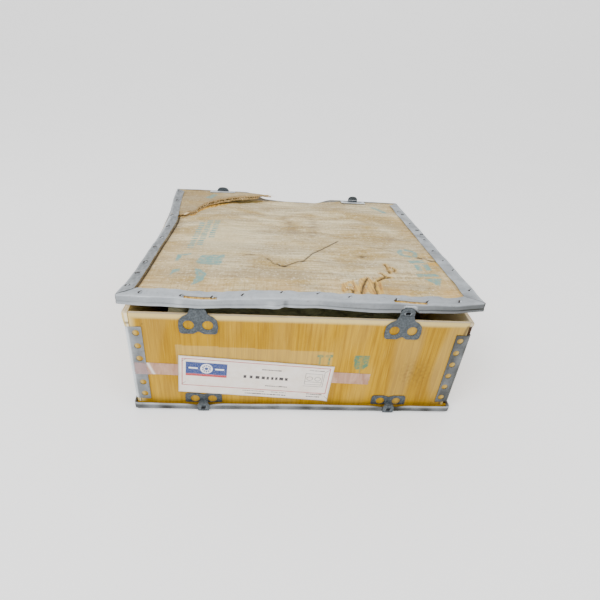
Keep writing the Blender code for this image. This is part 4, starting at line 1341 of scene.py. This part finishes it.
def staples():
    """Driven wire staples in the rim's flange: a crown of wire, with a pale sliver beside each as a painted
    glint.
    """
    parts, glints = [], []
    own = np.random.default_rng(6)
    for side, places in STAPLES.items():
        for x, v in places:
            x, v = x * MM, min(v * MM, 0.4695) if side == "front" and abs(x) < 0.17 else v * MM
            angle = {"front": 0.9, "right": 0.3, "left": 0.5}[side] + own.uniform(-0.35, 0.35)
            length = own.uniform(5.4, 6.8) * MM
            t = np.linspace(-1, 1, 9)
            px, pv = x + t * length / 2 * math.cos(angle), v - t * length / 2 * math.sin(angle)
            high = np.sqrt(np.clip(1 - t**4, 0, 1)) * 0.0006
            rise = lid_rise(px, pv)
            if side == "left":
                inner = np.clip((px + LID / 2) / FLANGE_IN, 0, 1)
                rise = rise - table(pv, LEFT_SAG) * (fade((px + LID / 2) / 0.11) - 1 + 0.4 * inner)
                rise = rise + 0.0017 * inner**1.5
            at = lid_at(px, pv, LID_TOP + rise + high)
            parts.append(splinter_parts(at, np.full(9, 0.0023), 0.0014))
            # a pale sliver beside each staple as a painted glint
            glints.append(splinter_parts(at[:5] + (0.0024, 0, 0.0001), np.full(5, 0.0013), 0.0009))
    points, faces = joined(parts)
    outward(piece("lid_staples", points, faces, staple_finish, "lid", "rim_steel"))
    points, faces = joined(glints)
    painted_highlight = {"painted_highlight": np.ones(len(points))}
    outward(piece("lid_staple_glints", points, faces, rim_finish, "lid", "rim_steel", paint=painted_highlight))


staples()

# ---- corner angles ----


def corner_angles():
    """Pierced steel angles, folded round the sleeve's upright edges."""
    face_x, face_y = SLEEVE_X + 0.0013, SLEEVE + 0.0013
    width, low, high, radius = 0.0223, 0.017, 0.1445, 0.006
    bend = radius * math.pi / 4
    half = bend + width - radius
    first = (low + high - 5 * 0.0215) / 2
    holes = [(k * (half - 0.0078), first + i * 0.0215, 0.0047) for k in (-1, 1) for i in range(6)]
    c = 0.0008
    outline = [(-half + c, low), (half - c, low), (half, low + c), (half, high - c),
               (half - c, high), (-half + c, high), (-half, high - c), (-half, low + c)]
    folds = np.linspace(-bend, bend, 9)
    extra = [(s, z) for s in folds for z in np.linspace(low + c, high - c, 24)]
    for name, sx, sy in (("front_left", 1, 1), ("front_right", -1, 1), ("back_right", -1, -1),
                         ("back_left", 1, -1)):

        def place(s, z, depth, sx=sx, sy=sy):
            # unrolled width s round the fold at the -X, -Y corner, then mirrored
            angle = (np.clip(s / bend, -1, 1) + 1) * math.pi / 4
            flat = np.maximum(np.abs(s) - bend, 0)
            r = radius - depth
            x = -face_x + radius - r * np.cos(angle) + np.where(s > 0, flat, 0)
            y = -face_y + radius - r * np.sin(angle) + np.where(s < 0, flat, 0)
            return np.stack([x * sx, y * sy, z], -1)

        points, faces = plate_parts(outline, holes, 0.0009, place, extra)
        # the right-hand angles are painted dark as shade, and the left ones' folds paler as a painted
        # highlight over darker flats; random wear on all
        off = np.hypot(np.abs(points[:, 0]) - face_x, np.abs(points[:, 1]) - face_y)
        fold = fade((off - 0.0035) / 0.0035)
        worn = 0.1 * waves(points[:, 2], points[:, 0] + points[:, 1], 0.03, 46)
        dark = np.clip(0.64 * (1 - fold) + worn if sx > 0 else 0.9 + 0.1 * fold + worn, 0, 1)
        paint = {"painted_highlight": 0.9 * fold * (sx > 0), "dirt": dark}
        outward(piece(
            f"corner_angle_{name}_sheet", points, faces, rim_finish, "crate", "rim_steel",
            (f"corner_angle_{name}",), paint, 45,
        ))


corner_angles()

# ---- clasps ----


def rounded(points, radii, steps=6):
    """A closed outline whose corners are rounded by the given radii."""
    made = []
    count = len(points)
    for i, r in enumerate(radii):
        p = np.array(points[i], float)
        a, b = np.array(points[i - 1], float) - p, np.array(points[(i + 1) % count], float) - p
        la, lb = np.linalg.norm(a), np.linalg.norm(b)
        a, b = a / la, b / lb
        half = math.acos(float(np.clip(a @ b, -1, 1))) / 2
        cut = min(r / max(math.tan(half), 1e-6), 0.49 * la, 0.49 * lb)
        if r <= 0 or cut < 1e-6:
            made.append(p)
            continue
        r = cut * math.tan(half)
        centre = p + (a + b) / np.linalg.norm(a + b) * r / math.sin(half)
        start, end = p + a * cut - centre, p + b * cut - centre
        a0, a1 = math.atan2(start[1], start[0]), math.atan2(end[1], end[0])
        sweep = (a1 - a0 + math.pi) % math.tau - math.pi
        for k in range(steps + 1):
            angle = a0 + sweep * k / steps
            made.append(centre + r * np.array((math.cos(angle), math.sin(angle))))
    return [tuple(p * MM) for p in made]


def upper_outline():
    """Half-and-half outline of an upper clasp about the middle between its holes, in mm."""
    ear, neck_top = 14.2, (BEND_Z - 0.0009 - UPPER_Z) / MM
    outer = HOLE_PITCH / MM / 2 + ear - 0.6
    right = [
        (0, -9.6), (7, -14.0), (outer - 1.5, -14.0), (outer, -3), (outer - 1.2, 7.5), (outer - 6.5, 13.5),
        (13.5, 16.5), (10.4, neck_top),
    ]
    radii_right = [3, 5, 4.5, 7, 4.5, 6, 5, 0]
    left = [(-x, y) for x, y in reversed(right[1:])]
    return rounded(right + left, radii_right + radii_right[:0:-1])


def turned_place(row, x0, y, z0):
    """Puts a plate's (u, w, depth) on the front or back of the crate."""
    facing = -1 if row == "front" else 1

    def place(u, w, depth):
        return np.stack([x0 - facing * u, facing * (y - depth) + 0 * u, z0 + w], -1)

    return place


def clasps():
    outline = upper_outline()
    face = CLASP_Y + CLASP_STEEL / 2
    hole_at = HOLE_PITCH / 2
    for row in ("front", "back"):
        for side in ("left", "right"):
            name = f"{row}_{side}"
            place = turned_place(row, UPPER_X[side], face, UPPER_Z)
            holes = [(k * hole_at, 0, HOLE_R) for k in (-1, 1)]
            points, faces = plate_parts(outline, holes, CLASP_STEEL, place)
            made = outward(piece(
                f"clasp_{name}_sheet", points, faces, clasp_finish, "crate", "clasp_steel",
                (f"clasp_plate_{name}",),
            ))
            softened(made, 0.00028)
            lower_clasp(row, side)
            tongue(row, side)


def lower_clasp(row, side):
    """Two ears over the holes, then a tongue stepped out over the base rim and hooked under it."""
    name = f"{row}_{side}"
    face = CLASP_Y + CLASP_STEEL / 2
    ear, out = 12.9, 26.8
    right = [(7.2, -4.2), (out, -4.2), (out, 9.5), (out - 2, ear), (7.5, ear)]
    radii = [0, 1.5, 5, 3.5, 4]
    middle = [(0, 10.2)]
    left = [(-x, y) for x, y in reversed(right)]
    outline = rounded(right + middle + left, radii + [3] + radii[::-1])
    place = turned_place(row, LOWER_X[side], face, LOWER_Z)
    holes = [(k * HOLE_PITCH / 2, 2.55 * MM, HOLE_R * 0.91) for k in (-1, 1)]
    points, faces = plate_parts(outline, holes, CLASP_STEEL, place)
    # the tongue: a strip of sheet along a bent line of (out from the centre, height)
    line = np.array(
        [(233.9, 16.5), (233.9, 15.6), (234.6, 15.05), (236.5, 14.9), (240.5, 14.75), (241.9, 14.3),
         (242.3, 13.2), (242.3, 8), (242.35, 3.4), (242.0, 1.9), (241.0, 1.25), (236, 1.2), (231, 1.2)]
    ) * MM
    half = np.interp(np.arange(len(line)), (0, 4, 6, 8, 12), (0.0055, 0.0062, 0.0085, 0.0085, 0.006))
    across = np.linspace(-1, 1, 9)
    u = across[:, None] * half[None]
    facing = -1 if row == "front" else 1
    bow = 0.0003 * (1 - across[:, None] ** 2)
    outer = np.stack(
        [LOWER_X[side] - facing * u, facing * (line[:, 0][None] + bow), line[:, 1][None] + 0 * u], -1
    )
    strip_points, strip_faces, _ = slab_parts(outer, 0.0011)
    boss = boss_parts(LOWER_X[side], facing, 0.24268, 0.0072, 0.0042, 0.0024, 0.0006)
    points, faces = joined([(points, faces), (strip_points, strip_faces), boss])
    made = piece(
        f"lower_clasp_{name}_sheet", points, faces, clasp_finish, "crate", "clasp_steel",
        (f"lower_clasp_{name}",), boss_paint(points, LOWER_X[side], 0.0072, 0.0042, 0.0026),
    )
    outward(made)


def boss_paint(points, x0, z0, wide, high):
    """Black painted into a boss's slot as shade, and a painted highlight on the sides of its ring."""
    across, up = (points[:, 0] - x0) / wide, (points[:, 2] - z0) / high
    away = np.hypot(across, up)
    outside = np.abs(points[:, 1]) > CLASP_Y
    worn = 0.6 * fade(np.abs(away - 0.95) / 0.16) * (np.abs(across) > 0.6)
    return {"dark": 1.0 * (away < 0.72) * outside, "painted_highlight": worn}


def boss_parts(x0, facing, y, z0, wide, high, raised, hole=0.5, slant=0.5, lean=0.0, foot=(0, 0)):
    """A raised oval ring pressed in a tongue, round a slanted slot."""
    profile = ((1.3, -0.9), (1.15, 0.7), (0.9, 1.0), (0.65, 0.8), (hole, 0.1), (hole * 0.9, -0.6))
    steps = 32
    points = []
    for scale, up in profile:
        for k in range(steps):
            a = math.tau * k / steps
            u, w = wide * scale * math.cos(a), high * scale * math.sin(a)
            if scale <= hole:
                u, w = u * math.cos(slant) - w * 0.4, w * 0.9 + u * math.sin(slant) * 0.5
            height = z0 + w - foot[1]
            out = y + up * raised
            dy = math.sin(lean) * height + math.cos(lean) * (out - foot[0])
            dz = math.cos(lean) * height - math.sin(lean) * (out - foot[0])
            points.append((x0 - facing * u, facing * (foot[0] + dy), foot[1] + dz))
    return np.array(points), tube_faces(len(profile), steps)


def tongue(row, side):
    """The free end of an upper clasp and the bend that joins it to its neck."""
    name = f"{row}_{side}"
    body = f"tongue_{name}"
    facing = -1 if row == "front" else 1
    lean = math.radians(8) if name == "front_right" else 0.0
    if row == "front":
        right = [(10.3, 0.85), (10.1, 6.2), (7.6, 12.2)]
        outline = rounded([*right, (0, 13.6), *((-x, y) for x, y in right[::-1])], [0, 5, 6, 10, 6, 5, 0])
    else:
        half, tall = (12.9, 13.0) if side == "left" else (10.4, 9.0)
        right = [(half, 0.85), (half * 0.97, tall * 0.45), (half * 0.67, tall * 0.9)]
        outline = rounded([*right, (0, tall), *((-x, y) for x, y in right[::-1])], [0, 4, 7, 12, 7, 4, 0])
    x0 = UPPER_X[side]

    def place(u, w, depth):
        out = CLASP_STEEL / 2 - depth + 0.0004 * (1 - (u / 0.0105) ** 2)
        dy = math.sin(lean) * w + math.cos(lean) * out
        dz = math.cos(lean) * w - math.sin(lean) * out
        return np.stack([x0 - facing * u, facing * (CLASP_Y + dy), BEND_Z + dz], -1)

    up, wide, high = 0.0046, 0.005, 0.0031  # the boss's height over the bend, and its half-sizes
    inner = [(u, w * MM) for u in np.linspace(-8, 8, 7) * MM for w in (3, 6.5, 9.5)]
    extra = [(u, w) for u, w in inner if math.hypot(u, w - up) > 0.003 and row == "front"]
    points, faces = plate_parts(outline, [(0, up, 0.0022)], CLASP_STEEL, place, extra)
    boss = boss_parts(
        x0, facing, CLASP_Y + CLASP_STEEL / 2 + 0.0003, BEND_Z + up, wide, high, 0.0007,
        lean=lean, foot=(CLASP_Y, BEND_Z),
    )
    points, faces = joined([(points, faces), boss])
    paint = boss_paint(points, x0, BEND_Z + up, wide, high)
    outward(piece(
        f"tongue_{name}_sheet", points, faces, clasp_finish, body, "clasp_steel", (body,), paint
    ))
    # the bend: a rolled strip about the fold line, fixed to the crate
    angle = np.linspace(0, math.tau, 13)[:-1]
    us = np.linspace(-10.2, 10.2, 9) * MM
    u, a = np.meshgrid(us, angle, indexing="ij")
    r = 0.00058
    points = np.stack(
        [x0 + u, facing * CLASP_Y + r * np.cos(a), BEND_Z - 0.0003 + 1.15 * r * np.sin(a)], -1
    ).reshape(-1, 3)
    faces = tube_faces(len(us), len(angle))
    outward(piece(f"clasp_bend_{name}", points, faces, clasp_finish, "crate", "clasp_steel"))


clasps()

# ---- label and tape ----


LABEL_LINES = (  # greyed lines: start, end, height, letter size and gap, in mm
    (-19, 47, 3.6, 5.0, 1.1), (7, 33, 18.5, 2.0, 0.5), (14, 46, -11.5, 2.0, 0.5),
    (-18, 12, -23.0, 1.6, 0.5), (24, 46, -23.0, 1.6, 0.5), (-15, 44, -28.2, 1.8, 0.5),
    (78, 100, -22.0, 1.5, 0.5), (78, 97, -27.0, 1.5, 0.5), (76, 98, 23.5, 1.2, 0.5),
)


def label():
    """The shipping label: paper with a frame, a ring pictogram, greyed lines and a small drawing."""
    width, height, turn = 0.222, 0.067, math.radians(3.9)
    us, ws = np.linspace(-width / 2, width / 2, 371), np.linspace(-height / 2, height / 2, 113)
    u, w = np.meshgrid(us, ws, indexing="ij")
    um, wm = u / MM, w / MM
    red = box(um, wm, -106.5, 106.5, -20, 29.5)
    red &= ~box(um, wm, -105.6, 105.6, -19.1, 28.6)
    red |= (np.abs(wm + 19.7) < 0.45) & (np.abs(um) < 106.5)
    red |= box(um, wm, -101, -43, -1.5, 2.5)
    block = box(um, wm, -101, -43, 2.5, 23.5)
    ring = np.hypot(um + 72, wm - 13)
    sign = (ring < 8.6) & (ring > 6.6) | (ring < 4.0) & (ring > 2.6)
    around = np.arctan2(wm - 13, um + 72)
    sign |= (np.abs(ring - 5.3) < 0.85) & (np.cos(around * 10) > 0.1)
    sign |= (np.abs(wm - 13) < 1.3) & ((um > -97) & (um < -84) | (um > -60) & (um < -47))
    ink = np.zeros(u.shape, bool)
    own = np.random.default_rng(8)

    for at, end, y, tall, gap in LABEL_LINES:
        while at < end:
            step = own.uniform(1.4, 3.2) * tall / 2.4
            ink |= (um > at) & (um < at + step) & (np.abs(wm - y) < tall / 2)
            at += step + gap * tall / 2.4 * own.uniform(0.6, 2.2)
    # cross-section sketch of a two-row bearing
    sketch = (np.abs(um - 84) < 13) & (np.abs(wm - 7) < 10.5)
    ink |= sketch & ~((np.abs(um - 84) < 12.4) & (np.abs(wm - 7) < 9.9))
    for k in (-1, 1):
        barrel = np.hypot((um - 84 - k * 6) / 4.4, (wm - 8) / 3.6)
        ink |= (barrel < 1.08) & (barrel > 0.9)
    ink |= sketch & (np.abs(wm - 1.5) < 0.3)
    ink |= (np.abs(wm + 6.8) < 0.35) & (um > 70) & (um < 100)
    ink |= (np.abs(um - 99) < 0.3) & (np.abs(wm - 7) < 14)
    dirt = 0.35 * fade(np.minimum(width / 2 - np.abs(u), height / 2 - np.abs(w)) / 0.0025)
    for cx, cy, lean in ((-104, 26, 1), (-104, -16, 1), (102, 24, 1), (108, -27, -1)):
        cut = ((cx - 2.6, cy - 2.2 * lean), (cx + 2.6, cy + 2.2 * lean))
        dirt = np.maximum(dirt, near(u, w, cut, 0.0008))
    lift = 0.0002 * waves(u, w, 0.05, 51)
    c, s = math.cos(turn), math.sin(turn)
    x = -0.0634 + u * c + w * s
    z = 0.0576 - u * s + w * c
    y = -0.2342 - 0.0001 - np.abs(lift)
    curl = 0.0012 * fade(np.hypot(width / 2 - u, height / 2 + w) / 0.012)
    outer = np.stack([x, y - curl, z], -1)
    inks = {"red": red, "blue": block, "white": block & sign, "ink": ink}
    paint = {**{key: printed * 1.0 for key, printed in inks.items()}, "dirt": dirt}
    slab(
        "shipping_label_paper", outer, 0.00015, paper_finish, "crate", "label_paper",
        ("shipping_label",), paint=paint,
    )


def tape():
    """Packing tape under the label and over the left angle, creased where it climbs the steel."""
    start, end, height, turn = -0.2335, 0.105, 0.0205, math.radians(2.4)
    middle = (start + end) / 2
    half = (end - start) / 2
    us, ws = stations(-half, half, 0.0015), np.linspace(-height / 2, height / 2, 14)
    u, w = np.meshgrid(us, ws, indexing="ij")
    c, s = math.cos(turn), math.sin(turn)
    u = u + 0.0012 * jagged(w, 0.003, 61) * fade((half - np.abs(u)) / 0.004)
    x, z = middle + u * c + w * s, 0.0652 - (u + middle + 0.017) * s + w * c
    slope = fade((x + 0.2175 + 0.25 * (w + 0.004)) / 0.007)
    y = -0.23345 - 0.00008 * np.abs(waves(u, w, 0.02, 62)) - 0.0011 * slope
    # a painted highlight along the crease where the tape climbs the steel
    crease = spot(x + 0.35 * w, w * 0, -212, 0, 3.4, 1)
    paint = {"pale": crease, "thin": 1.0 * (slope > 0.9)}
    outer = np.stack([x, y, z], -1)
    slab("tape_band_strip", outer, 0.00012, tape_finish, "crate", "tape", ("tape_band",), paint=paint)


label()
tape()

# ---- protective film ----


def film():
    """Film turned back off the bearing: one band bunched along the front, over the outer ring."""
    us, ws = stations(-0.183, 0.155, 0.0025), np.linspace(0, 1, 40)
    u, t = np.meshgrid(us, ws, indexing="ij")
    wrinkle = waves(u, t * 0.06, 0.028, 71) * 0.0016 + waves(u, t * 0.05, 0.012, 72) * 0.0008
    rise = np.sin(np.clip(t, 0, 1) * math.pi) ** 0.8
    y = -0.2262 + 0.056 * t + 0.0015 * waves(u, t * 0.05, 0.03, 73) * rise
    crest = 0.0105 + 0.0035 * waves(u, u * 0, 0.09, 74)
    z = 0.1562 + crest * rise * (1 - 0.35 * t) + wrinkle * rise + 0.0045 * fade(t / 0.15)
    z = np.clip(z, 0.1552, 0.1745)
    outer = np.stack([u, y, z], -1)
    # painted highlight: glare at the left end of the film
    pale = fade((u + 0.166) / 0.008) + 0.8 * fade(np.abs(u + 0.150) / 0.004)
    made = slab(
        "protective_film", outer, 0.00025, film_finish, "crate", "plywood",
        paint={"pale": pale}, sharp=180,
    )


film()

# ---- bearing ----


def along_contact(distance, across, row=1):
    r = distance * math.cos(CONTACT) - across * math.sin(CONTACT)
    return r, row * (distance * math.sin(CONTACT) + across * math.cos(CONTACT))


def crown(across):
    return across * across / (2 * CROWN_R)


def corner_arc(r, z, dr, dz, size, steps=4):
    """A rounded chamfer at a corner: points from (r, z + dz) to (r + dr, z)."""
    angles = np.linspace(0, math.pi / 2, steps + 1)
    return [
        (r + dr * size * (1 - math.cos(a)), z + dz * size * (1 - math.sin(a))) for a in angles
    ]


def lathe_parts(profile, steps=256):
    """A closed (r, z) outline turned about the bearing's axis."""
    profile = np.array(profile, float)
    count = len(profile)
    angle = np.arange(steps) * math.tau / steps
    points = polar(profile[:, 0], angle[:, None], profile[:, 1] + BEARING_Z).reshape(-1, 3)
    faces = []
    for i in range(steps):
        n = (i + 1) % steps
        for j in range(count):
            k = (j + 1) % count
            faces.append((i * count + j, n * count + j, n * count + k, i * count + k))
    return points, faces


def rings():
    half = WIDTH / 2
    race = []
    for z in np.linspace(-half + 0.002, half - 0.002, 40):
        race.append((math.sqrt(0.2037**2 - z * z), z))
    r0 = race[0][0]
    profile = [(r0 + 0.0012, -half)] + race + [(r0 + 0.0012, half)]
    profile += corner_arc(0.220, half, -1, -1, 0.004)[::-1]
    groove = [(0.220, 0.00835), (0.2189, 0.0074), (0.2178, 0.0062), (0.2174, 0.0052)]
    profile += groove + [(r, -z) for r, z in reversed(groove)]
    profile += corner_arc(0.220, -half, -1, 1, 0.004)
    points, faces = lathe_parts(profile, 252)
    ring = outward(piece("outer_ring_ground", points, faces, ring_finish, "crate", "bearing_steel",
                         ("outer_ring",), sharp=28))
    bm = bmesh.new()
    for i in range(3):
        way = Vector((math.cos(math.radians(90 + 120 * i)), math.sin(math.radians(90 + 120 * i)), 0))
        turn = Vector((0, 0, 1)).rotation_difference(way).to_matrix().to_4x4()
        bmesh.ops.create_cone(
            bm, cap_ends=True, segments=32, radius1=0.0045, radius2=0.0045, depth=0.06,
            matrix=Matrix.Translation(way * 0.21 + Vector((0, 0, BEARING_Z))) @ turn,
        )
    drill = bpy.data.meshes.new("drill")
    bm.to_mesh(drill)
    bm.free()
    cutter = bpy.data.objects.new("drill", drill)
    bpy.context.scene.collection.objects.link(cutter)
    cut = ring.modifiers.new("oil_holes", "BOOLEAN")
    cut.operation, cut.solver, cut.object = "DIFFERENCE", "EXACT", cutter
    applied(ring)
    bpy.data.objects.remove(cutter)

    race = []
    for a in np.linspace(1.03, -1.0, 20) * ROLLER_HALF:
        race.append(along_contact(PITCH_DISTANCE - ROLLER_R - 0.0005 + crown(a), a))
    profile = [(0.1315, -half)] + [(0.130, -half + 0.003), (0.136, half - 0.003), (0.1375, half)]
    profile += corner_arc(0.1505, half, -1, -1, 0.003)[::-1]
    profile += race + [(r, -z) for r, z in reversed(race)]
    profile += corner_arc(0.1505, -half, -1, 1, 0.003)
    points, faces = lathe_parts(profile)
    outward(piece("inner_ring_ground", points, faces, ring_finish, "inner_ring", "bearing_steel",
                  ("inner_ring",), sharp=28))

    def half_at(r):
        end = along_contact(PITCH_DISTANCE, -ROLLER_HALF)
        return end[1] - (end[0] - r) * math.tan(CONTACT) - 0.0007

    a, b, c = 0.1634, 0.1774, 0.0006
    profile = [(a, -half_at(a) + c), (a, half_at(a) - c), (a + c, half_at(a)), (b - c, half_at(b)),
               (b, half_at(b) - c), (b, -half_at(b) + c), (b - c, -half_at(b)), (a + c, -half_at(a))]
    points, faces = lathe_parts(profile)
    outward(piece("guide_ring_turned", points, faces, cage_finish, "guide_ring", "cage_steel",
                  ("guide_ring",), sharp=28))


def cages():
    """Pressed window cages: a cone of sheet with a rounded window for each roller."""
    edge = ROLLER_HALF + 0.0004
    low, high = -edge - 0.0032, edge + 0.003
    mean = along_contact(PITCH_DISTANCE, 0)[0]
    half = mean * math.pi / ROLLERS
    open_half = half * 0.84
    corners = ((1, -1), (1, 1), (-1, 1), (-1, -1))
    window = rounded([(a * open_half / MM, b * edge / MM) for a, b in corners], [2.4] * 4, 5)
    across = np.linspace(-half, half, 9)[1:-1]
    border = [(-half, low), *((u, low) for u in across), (half, low), (half, 0), (half, high)]
    border += [*((u, high) for u in across[::-1]), (-half, high), (-half, 0)]
    verts = [Vector(p) for p in border] + [Vector(p) for p in window]
    n, m = len(border), len(window)
    edges = [(k, (k + 1) % n) for k in range(n)] + [(n + k, n + (k + 1) % m) for k in range(m)]
    flat, _, tris, *_ = delaunay_2d_cdt(verts, edges, [], 0, 1e-7)
    flat = np.array([tuple(p) for p in flat])
    tris = np.array([tuple(f) for f in tris])
    centre = flat[tris].mean(1)
    tris = tris[~inside(centre[:, 0], centre[:, 1], np.array(window) / MM)].tolist()
    count = len(flat)
    faces = tris + [[k + count for k in f[::-1]] for f in tris]
    for p, q in directed_rim(tris):
        at_seam = abs(abs(flat[p, 0]) - half) < 1e-6 and abs(flat[p, 0] - flat[q, 0]) < 1e-6
        if not at_seam:
            faces.append([q, p, p + count, q + count])
    lip_section = ((0.0012, -0.0022), (0.0004, -0.0003), (-0.0125, -0.0003), (-0.0125, -0.0022))
    for name, row in (("cage_upper", 1), ("cage_lower", -1)):
        parts = []
        for i in range(ROLLERS):
            angle = math.tau * i / ROLLERS + flat[:, 0] / mean
            layers = []
            for sheet in (0.0014, -0.0014):
                r, z = along_contact(PITCH_DISTANCE + sheet, flat[:, 1], row)
                layers.append(polar(r, angle, BEARING_Z + z))
            parts.append((np.concatenate(layers), faces))
        lip = [along_contact(PITCH_DISTANCE + d, high + s, row) for d, s in lip_section]
        parts.append(lathe_parts(lip, 168))
        made = piece(
            f"{name}_pressed", *joined(parts), cage_finish, name, "cage_steel", (name,), sharp=30
        )
        outward(made, weld=1e-5)


def barrel_parts(sides=48):
    """Points and faces of a crowned roller about Z, with a shallow dimple in each end face."""
    end = [(0.955, 0), (0.985, -0.0005), (1, -0.0013)]
    line = [(-s, cut) for s, cut in reversed(end)] + [(s, 0) for s in np.linspace(-0.8, 0.8, 9)] + end
    side = [(ROLLER_R - 0.0001 - crown(s * ROLLER_HALF) + cut, s * ROLLER_HALF) for s, cut in line]
    dimple = [(0.009, ROLLER_HALF), (0.0082, ROLLER_HALF - 0.0007)]
    outline = np.array([(r, -z) for r, z in reversed(dimple)] + side + dimple)
    angle = np.arange(sides) * math.tau / sides
    points = polar(outline[:, :1], angle, outline[:, 1:]).reshape(-1, 3)
    return points, tube_faces(len(outline), sides)


def roller_matrix(i, row):
    r, z = along_contact(PITCH_DISTANCE, 0, row)
    spin = Matrix.Rotation(math.tau * i / ROLLERS, 4, "Z")
    lean = Matrix.Rotation(-row * CONTACT, 4, "Y")
    return Matrix.Translation((0, 0, BEARING_Z)) @ spin @ Matrix.Translation((r, 0, z)) @ lean


def rollers():
    """The upper row's rollers one by one, and the lower row on a ring in one piece."""
    points, faces = barrel_parts()
    rows = {1: [], -1: []}
    for row, barrels in rows.items():
        for i in range(ROLLERS):
            m = np.array(roller_matrix(i, row))
            barrels.append((points @ m[:3, :3].T + m[:3, 3], faces))
    for i, barrel in enumerate(rows[1]):
        name = f"roller_upper_{i + 1:02}"
        outward(piece(
            f"{name}_barrel", *barrel, roller_finish, name, "bearing_steel", (name,), sharp=25
        ))
    r, z = along_contact(PITCH_DISTANCE + 0.005, 0, -1)
    square = [(r + a * 0.002, z + b * 0.002) for a, b in ((-1, -1), (-1, 1), (1, 1), (1, -1))]
    lower = joined([*rows[-1], lathe_parts(square, 84)])
    outward(piece(
        "roller_row_lower_barrels", *lower, roller_finish, "cage_lower", "bearing_steel",
        ("roller_row_lower",), sharp=25,
    ))


rings()
cages()
rollers()

# ---- floor, light and camera ----


def floor():
    """A pale studio floor that curves up behind."""
    xs = np.linspace(-6, 6, 25)
    line = [(-5, 0), (-2, 0), (0, 0), (2, 0), (3, 0)]
    line += [(3 + 1.5 * math.sin(a), 1.5 * (1 - math.cos(a))) for a in np.linspace(0.1, math.pi / 2, 12)]
    line += [(4.5, 6)]
    line = np.array(line)
    points = np.array([(x, y, z - 0.0001) for x in xs for y, z in line])
    n = len(line)
    faces = [(i * n + j, (i + 1) * n + j, (i + 1) * n + j + 1, i * n + j + 1)
             for i in range(len(xs) - 1) for j in range(n - 1)]
    mesh = bpy.data.meshes.new("studio_floor")
    mesh.from_pydata(points.tolist(), [], faces)
    mesh.shade_smooth()
    g = Graph("pale_floor")
    grey = g.noise(3, 2)
    mesh.materials.append(g.finish(g.mix(grey, (0.86, 0.86, 0.86), (0.9, 0.9, 0.9)), 0.9,
                                   Emission_Color=(1, 1, 1), Emission_Strength=0.5))
    obj = bpy.data.objects.new("studio_floor", mesh)
    bpy.context.scene.collection.objects.link(obj)


def area_light(name, place, target, size, power, colour=(1, 1, 1)):
    lamp = bpy.data.lights.new(name, "AREA")
    lamp.shape, lamp.size, lamp.energy, lamp.color = "DISK", size, power, colour
    obj = bpy.data.objects.new(name, lamp)
    obj.location = place
    obj.rotation_euler = (Vector(target) - Vector(place)).to_track_quat("-Z", "Y").to_euler()
    bpy.context.scene.collection.objects.link(obj)


def lighting():
    world = bpy.data.worlds.new("studio")
    world.use_nodes = True
    world.node_tree.nodes["Background"].inputs["Color"].default_value = (1, 1, 1, 1)
    world.node_tree.nodes["Background"].inputs["Strength"].default_value = 1.0
    bpy.context.scene.world = world
    area_light("key", (-1.3, -1.5, 2.3), (0, 0, 0.1), 1.6, 60)
    area_light("fill", (1.6, -1.6, 1.4), (0, 0, 0.1), 1.6, 18)


def camera():
    yaw, pitch, roll = -0.12064, -0.61133, -0.09611
    turn = Matrix.Rotation(yaw, 3, "Z") @ Matrix.Rotation(pitch, 3, "X") @ Matrix.Rotation(roll, 3, "Y")
    right, forward, up = (Vector(turn.col[k]) for k in range(3))
    data = bpy.data.cameras.new("view")
    data.sensor_width, data.lens = 36, 27.179
    data.shift_y = 0.0615
    data.clip_start, data.clip_end = 0.01, 50
    obj = bpy.data.objects.new("view", data)
    axes = Matrix((right, up, -forward)).transposed()
    obj.matrix_world = Matrix.Translation((-0.06669, -0.74101, 0.49294)) @ axes.to_4x4()
    bpy.context.scene.collection.objects.link(obj)
    bpy.context.scene.camera = obj


floor()
lighting()
camera()
